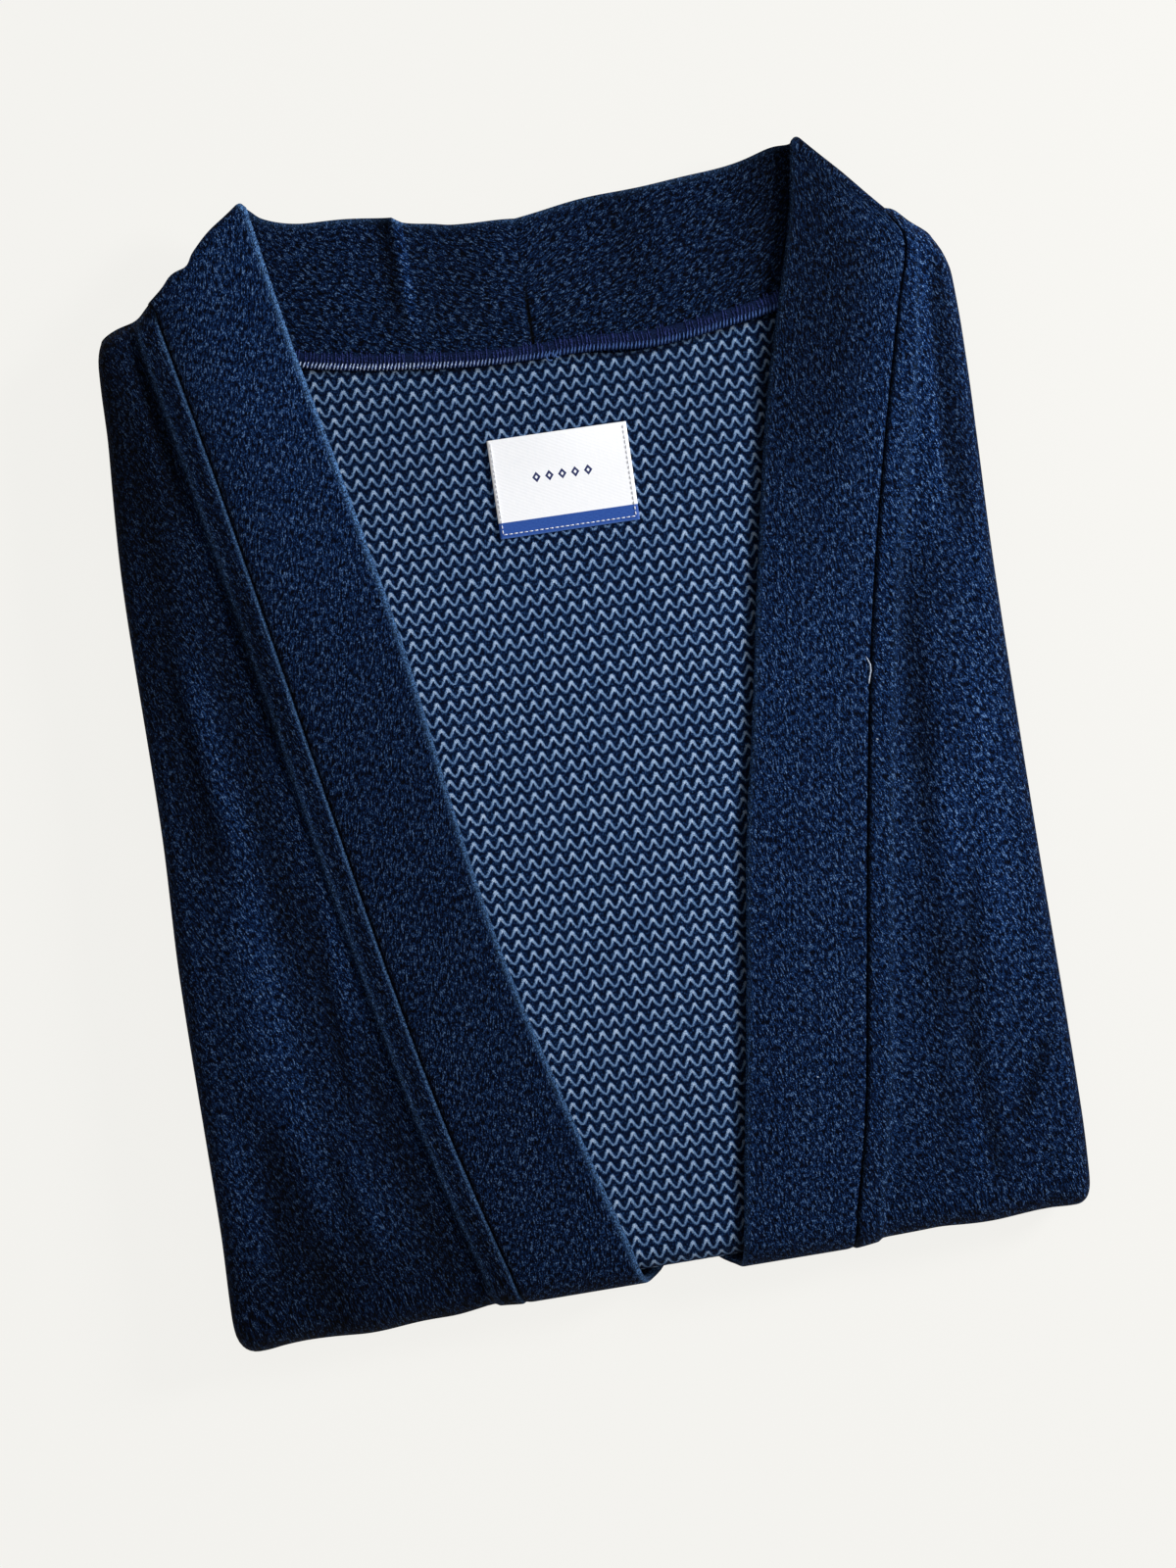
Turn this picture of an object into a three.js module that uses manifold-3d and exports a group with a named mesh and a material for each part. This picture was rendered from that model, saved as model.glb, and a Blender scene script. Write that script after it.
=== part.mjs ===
// A haori jacket of thick indigo sashiko knit, folded into a flat packet and laid on its back.
// Millimetres, +Z up, +Y towards the collar. The origin is under the middle of the packet, on the surface.
// The sides are folded behind, the sleeves lie between, and the lower half is folded up underneath.
import * as THREE from "three";
import Module from "manifold-3d";
import { mergeVertices } from "three/addons/utils/BufferGeometryUtils.js";

const { lerp, clamp, smoothstep } = THREE.MathUtils;

// Driving sizes
const CLOTH = 1.6; // one layer of the knit
const BAND = 3.0; // the collar band is two layers
const ALLOWANCE = 1.2; // what a pressed seam allowance adds to a layer
const ALLOWANCE_WIDTH = 10.5;
const GAP = 0.3; // between pieces at seams
const CORE_GAP = 0.9; // between the visible cloth and the hidden layers
const LABEL = 1.0;

// The packet: a bundle of layers that runs down the front, turns under at the bottom fold and runs back up
const SHOULDER_Y = 200; // where the length down the cloth is zero
const FOLD_Y = -211; // the axis of the bottom fold
const MID_Z = 13; // the plane between the upper and the lower half
const FOLD_START = SHOULDER_Y - FOLD_Y;
const FOLD_END = FOLD_START + Math.PI * 10;
const HEM = FOLD_END + 377; // the hem ends a little short of the shoulders
const INSIDE = 2.0; // the bundle starts this far from the middle plane, and the sleeves lie in between

// How far the outer faces lie from the middle plane
const UPPER = { back: 12.4, band: 15.8, ridge: 15.7, panel: 14.5 };
const LOWER = { back: 9.6, band: 13, ridge: 13, panel: 13 };
const NECK = { core: 7.0, band: 9.1, back: 10.2 };

// A smooth curve through the rows of a table, by the named columns
function curve(rows, from, to) {
  const at = rows.map((row) => row[from]);
  const value = rows.map((row) => row[to]);
  const slope = at.map((_, i) => {
    const a = Math.max(i - 1, 0);
    const b = Math.min(i + 1, at.length - 1);
    return (value[b] - value[a]) / (at[b] - at[a]);
  });
  return (place) => {
    const p = clamp(place, at[0], at[at.length - 1]);
    let i = 0;
    while (i < at.length - 2 && p > at[i + 1]) i += 1;
    const span = at[i + 1] - at[i];
    const t = (p - at[i]) / span;
    const u = 1 - t;
    return (
      value[i] * (1 + 2 * t) * u * u +
      value[i + 1] * (3 - 2 * t) * t * t +
      slope[i] * span * t * u * u -
      slope[i + 1] * span * t * t * u
    );
  };
}

// Each front, by the length down the cloth: the collar's free edge, its seam, and the side fold
const FRONTS = {
  left: {
    sign: -1,
    edge: [
      { down: -24, x: -97.3 },
      { down: 34, x: -87.9 },
      { down: 90, x: -76.9 },
      { down: 158, x: -64.3 },
      { down: 246, x: -52.5 },
      { down: 297, x: -43.3 },
      { down: 350, x: -30.3 },
      { down: 407, x: -15.1 },
      { down: 427, x: -8.5 },
      { down: 465, x: 0.5 },
      { down: 540, x: 3 },
      { down: 820, x: 3 },
    ],
    seam: [
      { down: 8, x: -135.4 },
      { down: 22, x: -138.6 },
      { down: 68, x: -129.2 },
      { down: 142, x: -116.3 },
      { down: 218, x: -103.6 },
      { down: 289, x: -91.3 },
      { down: 350, x: -79.2 },
      { down: 407, x: -64.9 },
      { down: 427, x: -58.6 },
      { down: 465, x: -50 },
      { down: 540, x: -47 },
      { down: 820, x: -47 },
    ],
    side: [
      { down: 8, x: -160 },
      { down: 11, x: -164 },
      { down: 20, x: -166.4 },
      { down: 57, x: -167.6 },
      { down: 117, x: -171.3 },
      { down: 217, x: -172.2 },
      { down: 277, x: -174.7 },
      { down: 377, x: -175.2 },
      { down: 411, x: -176.4 },
      { down: 427, x: -176 },
      { down: 443, x: -174.5 },
      { down: 640, x: -171 },
      { down: 820, x: -168 },
    ],
    shoulder: [
      { x: -170, down: 27 },
      { x: -163, down: 20.5 },
      { x: -157, down: 15.5 },
      { x: -149, down: 13 },
      { x: -141, down: 8.5 },
      { x: -134, down: 8 },
    ],
    foldBulge: 1.0,
  },
  right: {
    sign: 1,
    edge: [
      { down: -13, x: 120.6 },
      { down: 18, x: 114.6 },
      { down: 80, x: 96.1 },
      { down: 144, x: 81.5 },
      { down: 217, x: 66.6 },
      { down: 254, x: 58.4 },
      { down: 313, x: 48.4 },
      { down: 380, x: 36.5 },
      { down: 427, x: 26.8 },
      { down: 465, x: 17 },
      { down: 540, x: 11 },
      { down: 820, x: 11 },
    ],
    seam: [
      { down: 20, x: 153.4 },
      { down: 32, x: 159.4 },
      { down: 57, x: 152.4 },
      { down: 121, x: 135 },
      { down: 188, x: 119.5 },
      { down: 262, x: 105.7 },
      { down: 320, x: 95.8 },
      { down: 375, x: 85.9 },
      { down: 427, x: 72.6 },
      { down: 465, x: 64 },
      { down: 540, x: 61 },
      { down: 820, x: 61 },
    ],
    side: [
      { down: 20, x: 171 },
      { down: 23, x: 174.4 },
      { down: 33, x: 176.2 },
      { down: 80, x: 176.4 },
      { down: 117, x: 175.3 },
      { down: 167, x: 173.6 },
      { down: 277, x: 172.6 },
      { down: 387, x: 172.2 },
      { down: 427, x: 170.2 },
      { down: 443, x: 169.5 },
      { down: 640, x: 170 },
      { down: 820, x: 170 },
    ],
    shoulder: [
      { x: 150, down: 20 },
      { x: 157, down: 20.5 },
      { x: 163, down: 25 },
      { x: 170, down: 32 },
      { x: 176, down: 42 },
    ],
    foldBulge: -2.4,
  },
};
for (const front of Object.values(FRONTS)) {
  front.edgeX = curve(front.edge, "down", "x");
  front.seamX = curve(front.seam, "down", "x");
  front.sideX = curve(front.side, "down", "x");
  front.shoulderDown = curve(front.shoulder, "x", "down");
  front.start = front.seam[0].down;
}

// The neckline seam across the back
const NECKLINE = [
  { x: -137, down: 24 },
  { x: -112, down: 34 },
  { x: -86, down: 43 },
  { x: -57, down: 48 },
  { x: -18, down: 53.5 },
  { x: 22, down: 54.7 },
  { x: 47, down: 57.6 },
  { x: 88, down: 53.8 },
  { x: 118, down: 49 },
  { x: 152, down: 36 },
];
const neckDown = curve(NECKLINE, "x", "down");

// The largest soft folds of the two fronts: a line on the cloth, its half width and its height
const FOLDS = [
  { x1: -146, down1: 250, x2: -146, down2: 360, reach: 7, height: 1.1 },
  { x1: -147, down1: 330, x2: -133, down2: 425, reach: 8, height: -1.3 },
  { x1: -156, down1: 40, x2: -160, down2: 240, reach: 7, height: -1.0 },
  { x1: -138, down1: 120, x2: -124, down2: 300, reach: 8, height: -0.9 },
  { x1: -112, down1: 300, x2: -84, down2: 420, reach: 7, height: -1.1 },
  { x1: 168, down1: 50, x2: 164, down2: 150, reach: 6, height: -1.4 },
  { x1: 147, down1: 150, x2: 138, down2: 250, reach: 8, height: -1.2 },
  { x1: 158, down1: 200, x2: 152, down2: 330, reach: 8, height: 0.8 },
  { x1: 128, down1: 290, x2: 120, down2: 400, reach: 8, height: -1.0 },
];

function foldRise(x, down) {
  let rise = 0;
  for (const fold of FOLDS) {
    const along = (down - fold.down1) / (fold.down2 - fold.down1);
    const off = (x - lerp(fold.x1, fold.x2, along)) / fold.reach;
    const ends = smoothstep(along, -0.15, 0.25) * (1 - smoothstep(along, 0.75, 1.15));
    rise += fold.height * ends * Math.exp(-off * off);
  }
  return rise;
}

// Near the shoulders each front is crowned: it stands highest along the collar seam and slopes off both ways
const CROWN = 3;
const CROWN_REACH = 34;

function crown(front, x, down) {
  const off = (x - front.seamX(down)) / CROWN_REACH;
  const along = smoothstep(down, front.start + 6, front.start + 50) * (1 - smoothstep(down, 110, 240));
  return CROWN * along * Math.exp(-off * off);
}

// The share of a point that belongs to the upper half: 1 on top, 0 underneath
const upperShare = (down) => 1 - smoothstep(down, FOLD_START, FOLD_END);
const turnOf = (down) => (Math.PI * clamp(down - FOLD_START, 0, FOLD_END - FOLD_START)) / (FOLD_END - FOLD_START);

// A point of the cloth: x across, down along the cloth, rise away from the packet's middle plane
function place(x, down, rise) {
  const turn = turnOf(down);
  const y = down < FOLD_END ? Math.max(SHOULDER_Y - down, FOLD_Y) : FOLD_Y + down - FOLD_END;
  return new THREE.Vector3(x, y - rise * Math.sin(turn), MID_Z + rise * Math.cos(turn));
}

const level = (name, down) => lerp(LOWER[name], UPPER[name], upperShare(down));

// At the shoulder the seam runs close to the side fold, and the pressed allowance narrows to fit
function allowanceScale(front, down) {
  return clamp((Math.abs(front.sideX(down) - front.seamX(down)) - 7.5) / 22, 0.3, 1);
}

const seamDistance = (front, x, down) => Math.abs(x - front.seamX(down)) / allowanceScale(front, down);

// The outer face of a front, with its pressed seam allowance, its soft folds and its closed shoulder
function panelRise(front, x, down) {
  const fromSeam = seamDistance(front, x, down);
  const top = upperShare(down);
  const ridge = level("ridge", down) - 0.9 * top * (1 - smoothstep(fromSeam, 0, 1.5));
  const puff = 2.0 * top * smoothstep(fromSeam, 12, 32);
  const body = level("panel", down) + puff + foldRise(x, down) * top;
  const bulge = front.foldBulge * Math.sin(turnOf(down)) * smoothstep(fromSeam, 5, 40);
  const step = smoothstep(fromSeam, ALLOWANCE_WIDTH, ALLOWANCE_WIDTH + 3);
  const open = lerp(ridge, body, step) + bulge + crown(front, x, down);
  const fromShoulder = clamp((down - front.shoulderDown(x)) / 10, 0, 1);
  const closed = Math.sqrt(1 - (1 - fromShoulder) ** 2);
  return Math.max(lerp(INSIDE, open, closed), INSIDE + 4.8);
}

function panelThickness(front, x, down) {
  const fromSeam = seamDistance(front, x, down);
  const allowance = 1 - smoothstep(fromSeam, ALLOWANCE_WIDTH, ALLOWANCE_WIDTH + 3);
  const hem = smoothstep(down, HEM - 24, HEM - 20);
  return CLOTH + ALLOWANCE * Math.max(allowance, hem);
}

// A front's cross-section: out from the collar seam, round the side fold and in along its flap
function frontSection(front, base, flapLength) {
  const { sign } = front;
  const seam = front.seamX(base);
  const side = front.sideX(base);
  const near = 1 - smoothstep(base - front.start, 12, 70);
  const slant = (x) => base + (front.shoulderDown(x) - front.shoulderDown(seam)) * near;
  const edgeRise = panelRise(front, side - sign * 7, slant(side - sign * 7));
  const radius = (edgeRise - INSIDE) / 2;
  const middle = side - sign * radius;
  const columns = [];
  const flat = (x) => {
    const down = slant(x);
    const rise = lerp(panelRise(front, x, down), edgeRise, smoothstep(sign * (x - middle), -10, 0));
    columns.push({ x, down, rise, thick: panelThickness(front, x, down), across: 0, up: 1 });
  };
  const scale = allowanceScale(front, base);
  flat(seam + sign * 0.4);
  for (const fromSeam of [1.8, ALLOWANCE_WIDTH, ALLOWANCE_WIDTH + 3]) flat(seam + sign * fromSeam * scale);
  const first = seam + sign * (ALLOWANCE_WIDTH + 3) * scale;
  const flats = 6;
  for (let i = 1; i <= flats; i += 1) flat(lerp(first, middle, i / flats));
  const steps = 8;
  for (let i = 1; i <= steps; i += 1) {
    const angle = Math.PI * (0.5 - i / steps);
    const across = sign * Math.cos(angle);
    const x = middle + radius * across;
    columns.push({
      x,
      down: slant(x),
      rise: INSIDE + radius * (1 + Math.sin(angle)),
      thick: CLOTH,
      across,
      up: Math.sin(angle),
    });
  }
  const end = middle - sign * flapLength;
  columns.push({ x: end, down: slant(end), rise: INSIDE, thick: CLOTH, across: 0, up: -1 });
  return columns;
}

const outward = (c, distance) => ({
  x: c.x + c.across * distance,
  down: c.down,
  rise: c.rise + c.up * distance,
});

// Triangles that fill an outline and use each of its points, even those in line with their neighbours
function fillOutline(outline) {
  const facing = Math.sign(THREE.ShapeUtils.area(outline));
  const turn = (a, b, c) => facing * THREE.ShapeUtils.area([outline[a], outline[b], outline[c]]);
  const covers = (a, b, c, k) => turn(a, b, k) > -1e-9 && turn(b, c, k) > -1e-9 && turn(c, a, k) > -1e-9;
  const corners = outline.map((_, i) => i);
  const triangles = [];
  while (corners.length > 3) {
    let best = null;
    corners.forEach((b, i) => {
      const a = corners.at(i - 1);
      const c = corners[(i + 1) % corners.length];
      const length = outline[a].distanceTo(outline[c]);
      if ((best && length >= best.length) || turn(a, b, c) < 1e-4) return;
      if (corners.some((k) => k !== a && k !== b && k !== c && covers(a, b, c, k))) return;
      best = { i, length, triangle: [a, b, c] };
    });
    if (!best) throw new Error("an outline crosses itself");
    triangles.push(best.triangle);
    corners.splice(best.i, 1);
  }
  return [...triangles, corners];
}

// A solid skinned over closed rings of the same count, with its two ends filled
function ringSolid(rings, startOutline, endOutline) {
  const count = rings[0].length;
  const position = rings.flatMap((ring) => ring.flatMap((p) => [p.x, p.y, p.z]));
  const index = [];
  for (let j = 0; j < rings.length - 1; j += 1) {
    for (let k = 0; k < count; k += 1) {
      const a = j * count + k;
      const b = j * count + ((k + 1) % count);
      index.push(a, b, b + count, a, b + count, a + count);
    }
  }
  const fill = (outline, first, forward) => {
    for (const [a, b, c] of fillOutline(outline)) {
      index.push(first + a, first + (forward ? b : c), first + (forward ? c : b));
    }
  };
  fill(startOutline, 0, false);
  fill(endOutline, (rings.length - 1) * count, true);
  const geometry = new THREE.BufferGeometry();
  geometry.setAttribute("position", new THREE.Float32BufferAttribute(position, 3));
  geometry.setIndex(signedVolume(position, index) < 0 ? index.reverse() : index);
  geometry.computeVertexNormals();
  return geometry;
}

function signedVolume(position, index) {
  const at = (i) => new THREE.Vector3().fromArray(position, 3 * i);
  let volume = 0;
  for (let i = 0; i < index.length; i += 3) {
    volume += at(index[i]).dot(at(index[i + 1]).cross(at(index[i + 2]))) / 6;
  }
  return volume;
}

// A wall of cloth from rows of columns: its outer points, then back along its inner points
function wall(rows) {
  const rings = rows.map((columns) => {
    const inner = columns.map((c) => outward(c, -c.thick)).reverse();
    return [...columns, ...inner].map((p) => place(p.x, p.down, p.rise));
  });
  return ringSolid(rings, sectionOutline(rows[0]), sectionOutline(rows[rows.length - 1]));
}

function sectionOutline(columns) {
  const inner = columns.map((c) => outward(c, -c.thick)).reverse();
  return [...columns, ...inner].map((p) => new THREE.Vector2(p.x, p.rise));
}

const BEND_ROWS = 8;
const bendDowns = Array.from({ length: BEND_ROWS + 1 }, (_, i) => lerp(FOLD_START, FOLD_END, i / BEND_ROWS));
const LONG_ROWS = [40, 60, 85, 112, 140, 168, 196, 224, 252, 280, 308, 334, 360, 386];
const OPENING_ROWS = [5.5, 9, 14, 21, 32, 46, 62, 82];
const UNDER_ROWS = [465, 505, 600, 720];
const HEM_ROWS = [HEM - 25, HEM - 19];

function frontPanel(front) {
  const shoulderRows = [0, 0.6, 1.6, 3.2, ...OPENING_ROWS].map((d) => front.start + d);
  const longRows = LONG_ROWS.filter((down) => down > front.start + 90);
  const rows = [...shoulderRows, ...longRows, ...bendDowns, ...UNDER_ROWS, ...HEM_ROWS, HEM];
  return wall(rows.map((base) => frontSection(front, base, 13)));
}

// The back seen from inside, between the fronts and a little way under the collar
const BACK_UNDERLAP = 19;
const backDip = (down) => 2.3 * Math.sin(turnOf(down));

function backRise(x, down) {
  const neck = smoothstep(down, neckDown(x), neckDown(x) + 42);
  return lerp(NECK.back, level("back", down) - backDip(down), neck);
}

function backSection(base) {
  const left = FRONTS.left.edgeX(base) - BACK_UNDERLAP;
  const right = FRONTS.right.edgeX(base) + BACK_UNDERLAP;
  const columns = [];
  const steps = 13;
  const near = 1 - smoothstep(base, 60, 120);
  for (let i = 0; i <= steps; i += 1) {
    const x = lerp(left, right, i / steps);
    const down = base + (neckDown(x) + GAP - BACK_TOP) * near;
    columns.push({ x, down, rise: backRise(x, down), thick: CLOTH, across: 0, up: 1 });
  }
  return columns;
}

const BACK_TOP = 50;
const BACK_ROWS = [0, 4, 10, 18, 28, 40, 54].map((d) => BACK_TOP + d);

function backPanel() {
  const longRows = LONG_ROWS.filter((down) => down > BACK_TOP + 60);
  const rows = [...BACK_ROWS, ...longRows, ...bendDowns, ...UNDER_ROWS, HEM];
  return wall(rows.map(backSection));
}

// The hidden layers: everything inside the visible cloth, one rounded bundle bent round the bottom fold
function coreRise(x, down) {
  const left = FRONTS.left.edgeX(down) - x;
  const right = x - FRONTS.right.edgeX(down);
  const underBand = smoothstep(Math.max(left, right), BACK_UNDERLAP + 2, BACK_UNDERLAP + 14);
  const low = backRise(x, down) - CLOTH - CORE_GAP;
  const high = level("band", down) - BAND - CORE_GAP - 0.1;
  const open = lerp(low, high, underBand);
  const neck = smoothstep(down, neckDown(x), neckDown(x) + 9);
  return lerp(NECK.core, open, neck);
}

const CORE_END = [
  { x: -162, down: 30 },
  { x: -141, down: 18 },
  { x: -115, down: 22 },
  { x: -60, down: 30 },
  { x: 0, down: 32 },
  { x: 90, down: 34 },
  { x: 140, down: 34 },
  { x: 156, down: 33 },
  { x: 172, down: 48 },
];
const coreEnd = curve(CORE_END, "x", "down");
const CORE_START = 32;
const coreDown = (x, base) => base + (coreEnd(x) - CORE_START) * (1 - smoothstep(base, CORE_START, 90));

function coreSide(front, base, end) {
  const flap = 13 + CORE_GAP;
  const section = frontSection(front, base, flap);
  const depth = (c) => c.thick + CORE_GAP + 1.3 * (1 - smoothstep(base, 40, 110));
  const columns = section.map((c) => {
    const down = Math.min(coreDown(c.x, base), end);
    if (c.up !== 1) return { ...outward(c, -depth(c)), down };
    return { x: c.x, down, rise: panelRise(front, c.x, down) - depth(c) };
  });
  const inner = section[section.length - 1];
  const foot = { x: inner.x, down: Math.min(coreDown(inner.x, base), end), rise: INSIDE };
  return [...columns, foot];
}

function coreSection(base, end) {
  const left = FRONTS.left;
  const right = FRONTS.right;
  const xs = [
    left.seamX(base) + 3,
    left.edgeX(base) - BACK_UNDERLAP - 14,
    left.edgeX(base) - BACK_UNDERLAP - 2,
    left.edgeX(base),
    right.edgeX(base),
    right.edgeX(base) + BACK_UNDERLAP + 2,
    right.edgeX(base) + BACK_UNDERLAP + 14,
    right.seamX(base) - 3,
  ];
  const middle = [1, 2, 3].map((i) => lerp(xs[3], xs[4], i / 4));
  xs.splice(4, 0, ...middle);
  const centre = xs.map((x) => {
    const down = Math.min(coreDown(x, base), end);
    return { x, down, rise: coreRise(x, down) };
  });
  return [...coreSide(left, base, end).reverse(), ...centre, ...coreSide(right, base, end)];
}

function coreBundle() {
  const end = HEM - 4;
  const downs = [32, 36, 42, 50, 60, 72, 88, ...LONG_ROWS.filter((d) => d > 90), ...bendDowns];
  const rows = [...downs, ...UNDER_ROWS, ...HEM_ROWS, end].map((base) => coreSection(base, end));
  const rings = rows.map((row) => row.map((p) => place(p.x, p.down, p.rise)));
  const outline = (row) => row.map((p) => new THREE.Vector2(p.x, p.rise));
  return ringSolid(rings, outline(rows[0]), outline(rows[rows.length - 1]));
}

// The slits that part the hidden layers where their edges show, at the neck end and at the hem end
const SLIT = 0.7;
const SLIT_DEPTH = 5;

function slit(rise, downAt, reach) {
  const steps = 12;
  const rings = [];
  for (let i = 0; i <= steps; i += 1) {
    const x = lerp(-reach, reach, i / steps);
    const down = downAt(x);
    rings.push([
      place(x, down.outer, rise),
      place(x, down.outer, rise + SLIT),
      place(x, down.inner, rise + SLIT),
      place(x, down.inner, rise),
    ]);
  }
  const square = [new THREE.Vector2(0, 0), new THREE.Vector2(0, 1), new THREE.Vector2(1, 1), new THREE.Vector2(1, 0)];
  return ringSolid(rings, square, square);
}

function toSolid(wasm, geometry) {
  const merged = geometry.clone();
  merged.deleteAttribute("normal");
  const shared = mergeVertices(merged, 1e-4);
  return new wasm.Manifold(
    new wasm.Mesh({
      numProp: 3,
      vertProperties: shared.attributes.position.array,
      triVerts: new Uint32Array(shared.index.array),
    }),
  );
}

function toGeometry(solid) {
  const mesh = solid.getMesh();
  const geometry = new THREE.BufferGeometry();
  geometry.setAttribute("position", new THREE.BufferAttribute(new Float32Array(mesh.vertProperties), 3));
  geometry.setIndex(new THREE.BufferAttribute(mesh.triVerts, 1));
  geometry.computeVertexNormals();
  return geometry;
}

function hiddenLayers(wasm) {
  const neckSlit = (x) => ({ outer: coreEnd(x) - 3, inner: coreEnd(x) + SLIT_DEPTH });
  const hemSlit = () => ({ outer: HEM, inner: HEM - 4 - SLIT_DEPTH });
  let solid = toSolid(wasm, coreBundle());
  for (const rise of [3.3, 5.0]) solid = solid.subtract(toSolid(wasm, slit(rise, neckSlit, 150)));
  for (const rise of [3.4, 5.2]) solid = solid.subtract(toSolid(wasm, slit(rise, hemSlit, 150)));
  return toGeometry(solid);
}

// The folded sleeves, two flat tubes between the halves; their outer folds show in the side creases
const SLEEVE_INSET = 9.5;

function sleeve(front) {
  const { sign } = front;
  const half = INSIDE - GAP;
  const middle = 7;
  const stops = [56, 60, 160, 260, 360, FOLD_START - 5, FOLD_START - 2];
  const rows = stops.map((down, i) => {
    const ends = i === 0 || i === stops.length - 1;
    const thin = ends ? 0.6 : 1;
    const outer = front.sideX(down) - sign * (SLEEVE_INSET + (ends ? 2 : 0));
    const inner = middle + sign * GAP;
    const turnedEdge = [-90, -45, 0, 45, 90].map((angle) => {
      const a = THREE.MathUtils.degToRad(angle);
      return { x: outer + sign * half * (Math.cos(a) - 1), rise: half * Math.sin(a) * thin };
    });
    return [...turnedEdge, { x: inner, rise: half * thin }, { x: inner, rise: -half * thin }].map((p) => ({
      ...p,
      down,
    }));
  });
  const rings = rows.map((row) => row.map((p) => place(p.x, p.down, p.rise)));
  const outline = (row) => row.map((p) => new THREE.Vector2(p.x, p.rise));
  return ringSolid(rings, outline(rows[0]), outline(rows[rows.length - 1]));
}

// The collar band. Its rulings run from the seam to the free edge: down the front, round the shoulder
// and along the back of the neck to the seam at the centre back.
const BAND_COLUMNS = [
  { across: 0, half: 0.75 },
  { across: 0.04, half: 1.0 },
  { across: 0.3, half: 1.0 },
  { across: 0.62, half: 1.02 },
  { across: 0.93, half: 1.0 },
  { across: 0.98, half: 0.72 },
  { across: 1, half: 0.22 },
];
const HALF_BAND = BAND / 2;

const COLLARS = {
  left: {
    front: FRONTS.left,
    // The rulings down the front, by where they leave the seam and where they meet the free edge
    rulings: [
      { seam: 8, edge: -23.5 },
      { seam: 24, edge: 2 },
      { seam: 48, edge: 34 },
      { seam: 80, edge: 70 },
      { seam: 140, edge: 133 },
      { seam: 300, edge: 292 },
      { seam: 385, edge: 378 },
      { seam: 411, edge: 411 },
      { seam: 822, edge: 822 },
    ],
    // The neck stretch from the shoulder to the centre back: seam end and free edge
    neck: [
      { along: 0, seamX: -135.4, seamY: 192, edgeX: -97.3, edgeY: 223.5, edgeZ: 22.0 },
      { along: 0.14, seamX: -120, seamY: 171.5, edgeX: -91.5, edgeY: 217.6, edgeZ: 21.6 },
      { along: 0.32, seamX: -92, seamY: 159.5, edgeX: -78, edgeY: 213.8, edgeZ: 20.6 },
      { along: 0.5, seamX: -66, seamY: 153.4, edgeX: -58, edgeY: 211.2, edgeZ: 21.0 },
      { along: 0.66, seamX: -44, seamY: 150.1, edgeX: -40, edgeY: 209.3, edgeZ: 21.4 },
      { along: 0.82, seamX: -18, seamY: 146.9, edgeX: -16, edgeY: 203.6, edgeZ: 19.6 },
      { along: 1, seamX: 6.35, seamY: 145.7, edgeX: 7.35, edgeY: 202.2, edgeZ: 19.2 },
    ],
  },
  right: {
    front: FRONTS.right,
    rulings: [
      { seam: 20, edge: -13 },
      { seam: 38, edge: 10 },
      { seam: 62, edge: 42 },
      { seam: 98, edge: 82 },
      { seam: 160, edge: 146 },
      { seam: 300, edge: 288 },
      { seam: 385, edge: 379 },
      { seam: 411, edge: 411 },
      { seam: 822, edge: 822 },
    ],
    neck: [
      { along: 0, seamX: 151.6, seamY: 178, edgeX: 120.6, edgeY: 213, edgeZ: 22.0 },
      { along: 0.14, seamX: 139, seamY: 163, edgeX: 114, edgeY: 210.6, edgeZ: 21.4 },
      { along: 0.32, seamX: 112, seamY: 151.2, edgeX: 99, edgeY: 209.5, edgeZ: 20.4 },
      { along: 0.52, seamX: 82, seamY: 145.9, edgeX: 75, edgeY: 207.7, edgeZ: 19.8 },
      { along: 0.7, seamX: 54, seamY: 143.2, edgeX: 50, edgeY: 206, edgeZ: 19.6 },
      { along: 0.86, seamX: 28, seamY: 145.4, edgeX: 27, edgeY: 203.2, edgeZ: 19.2 },
      { along: 1, seamX: 6.65, seamY: 145.7, edgeX: 7.65, edgeY: 202.2, edgeZ: 19.2 },
    ],
  },
};

// The crease that runs up the neck stretch beside the centre back, and the waves along its free edge
function neckWave(x, across) {
  const crease = Math.exp(-(((x + 41) / 6) ** 2)) * 1.2;
  const waves = 0.7 * Math.sin((x + 20) / 17) + 0.5 * Math.sin(x / 9 + 1);
  return (crease + waves) * smoothstep(across, 0.15, 1);
}

function frontRulings(collar) {
  const edgeOf = curve(collar.rulings, "seam", "edge");
  const start = collar.rulings[0].seam;
  const opening = [0, ...OPENING_ROWS].map((d) => start + d);
  const long = LONG_ROWS.filter((down) => down > start + 90);
  return [...opening, ...long, ...bendDowns, ...UNDER_ROWS, HEM].map((seam) => ({
    seam,
    edge: edgeOf(seam),
  }));
}

function bandRing(points) {
  return [...points.map((p) => p.outer), ...points.map((p) => p.inner).reverse()];
}

function frontBandRing(collar, ruling) {
  const { front } = collar;
  const sign = -front.sign;
  return bandRing(
    BAND_COLUMNS.map(({ across, half }) => {
      const down = lerp(ruling.seam, ruling.edge, across);
      const seamX = front.seamX(ruling.seam) + sign * 0.1;
      const x = lerp(seamX, front.edgeX(ruling.edge), across);
      const centre = level("band", down) - HALF_BAND + crown(front, x, down);
      const flat = 1 - upperShare(down);
      const outer = centre + HALF_BAND * lerp(half, 1, flat);
      return { outer: place(x, down, outer), inner: place(x, down, centre - HALF_BAND * half) };
    }),
  );
}

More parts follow.
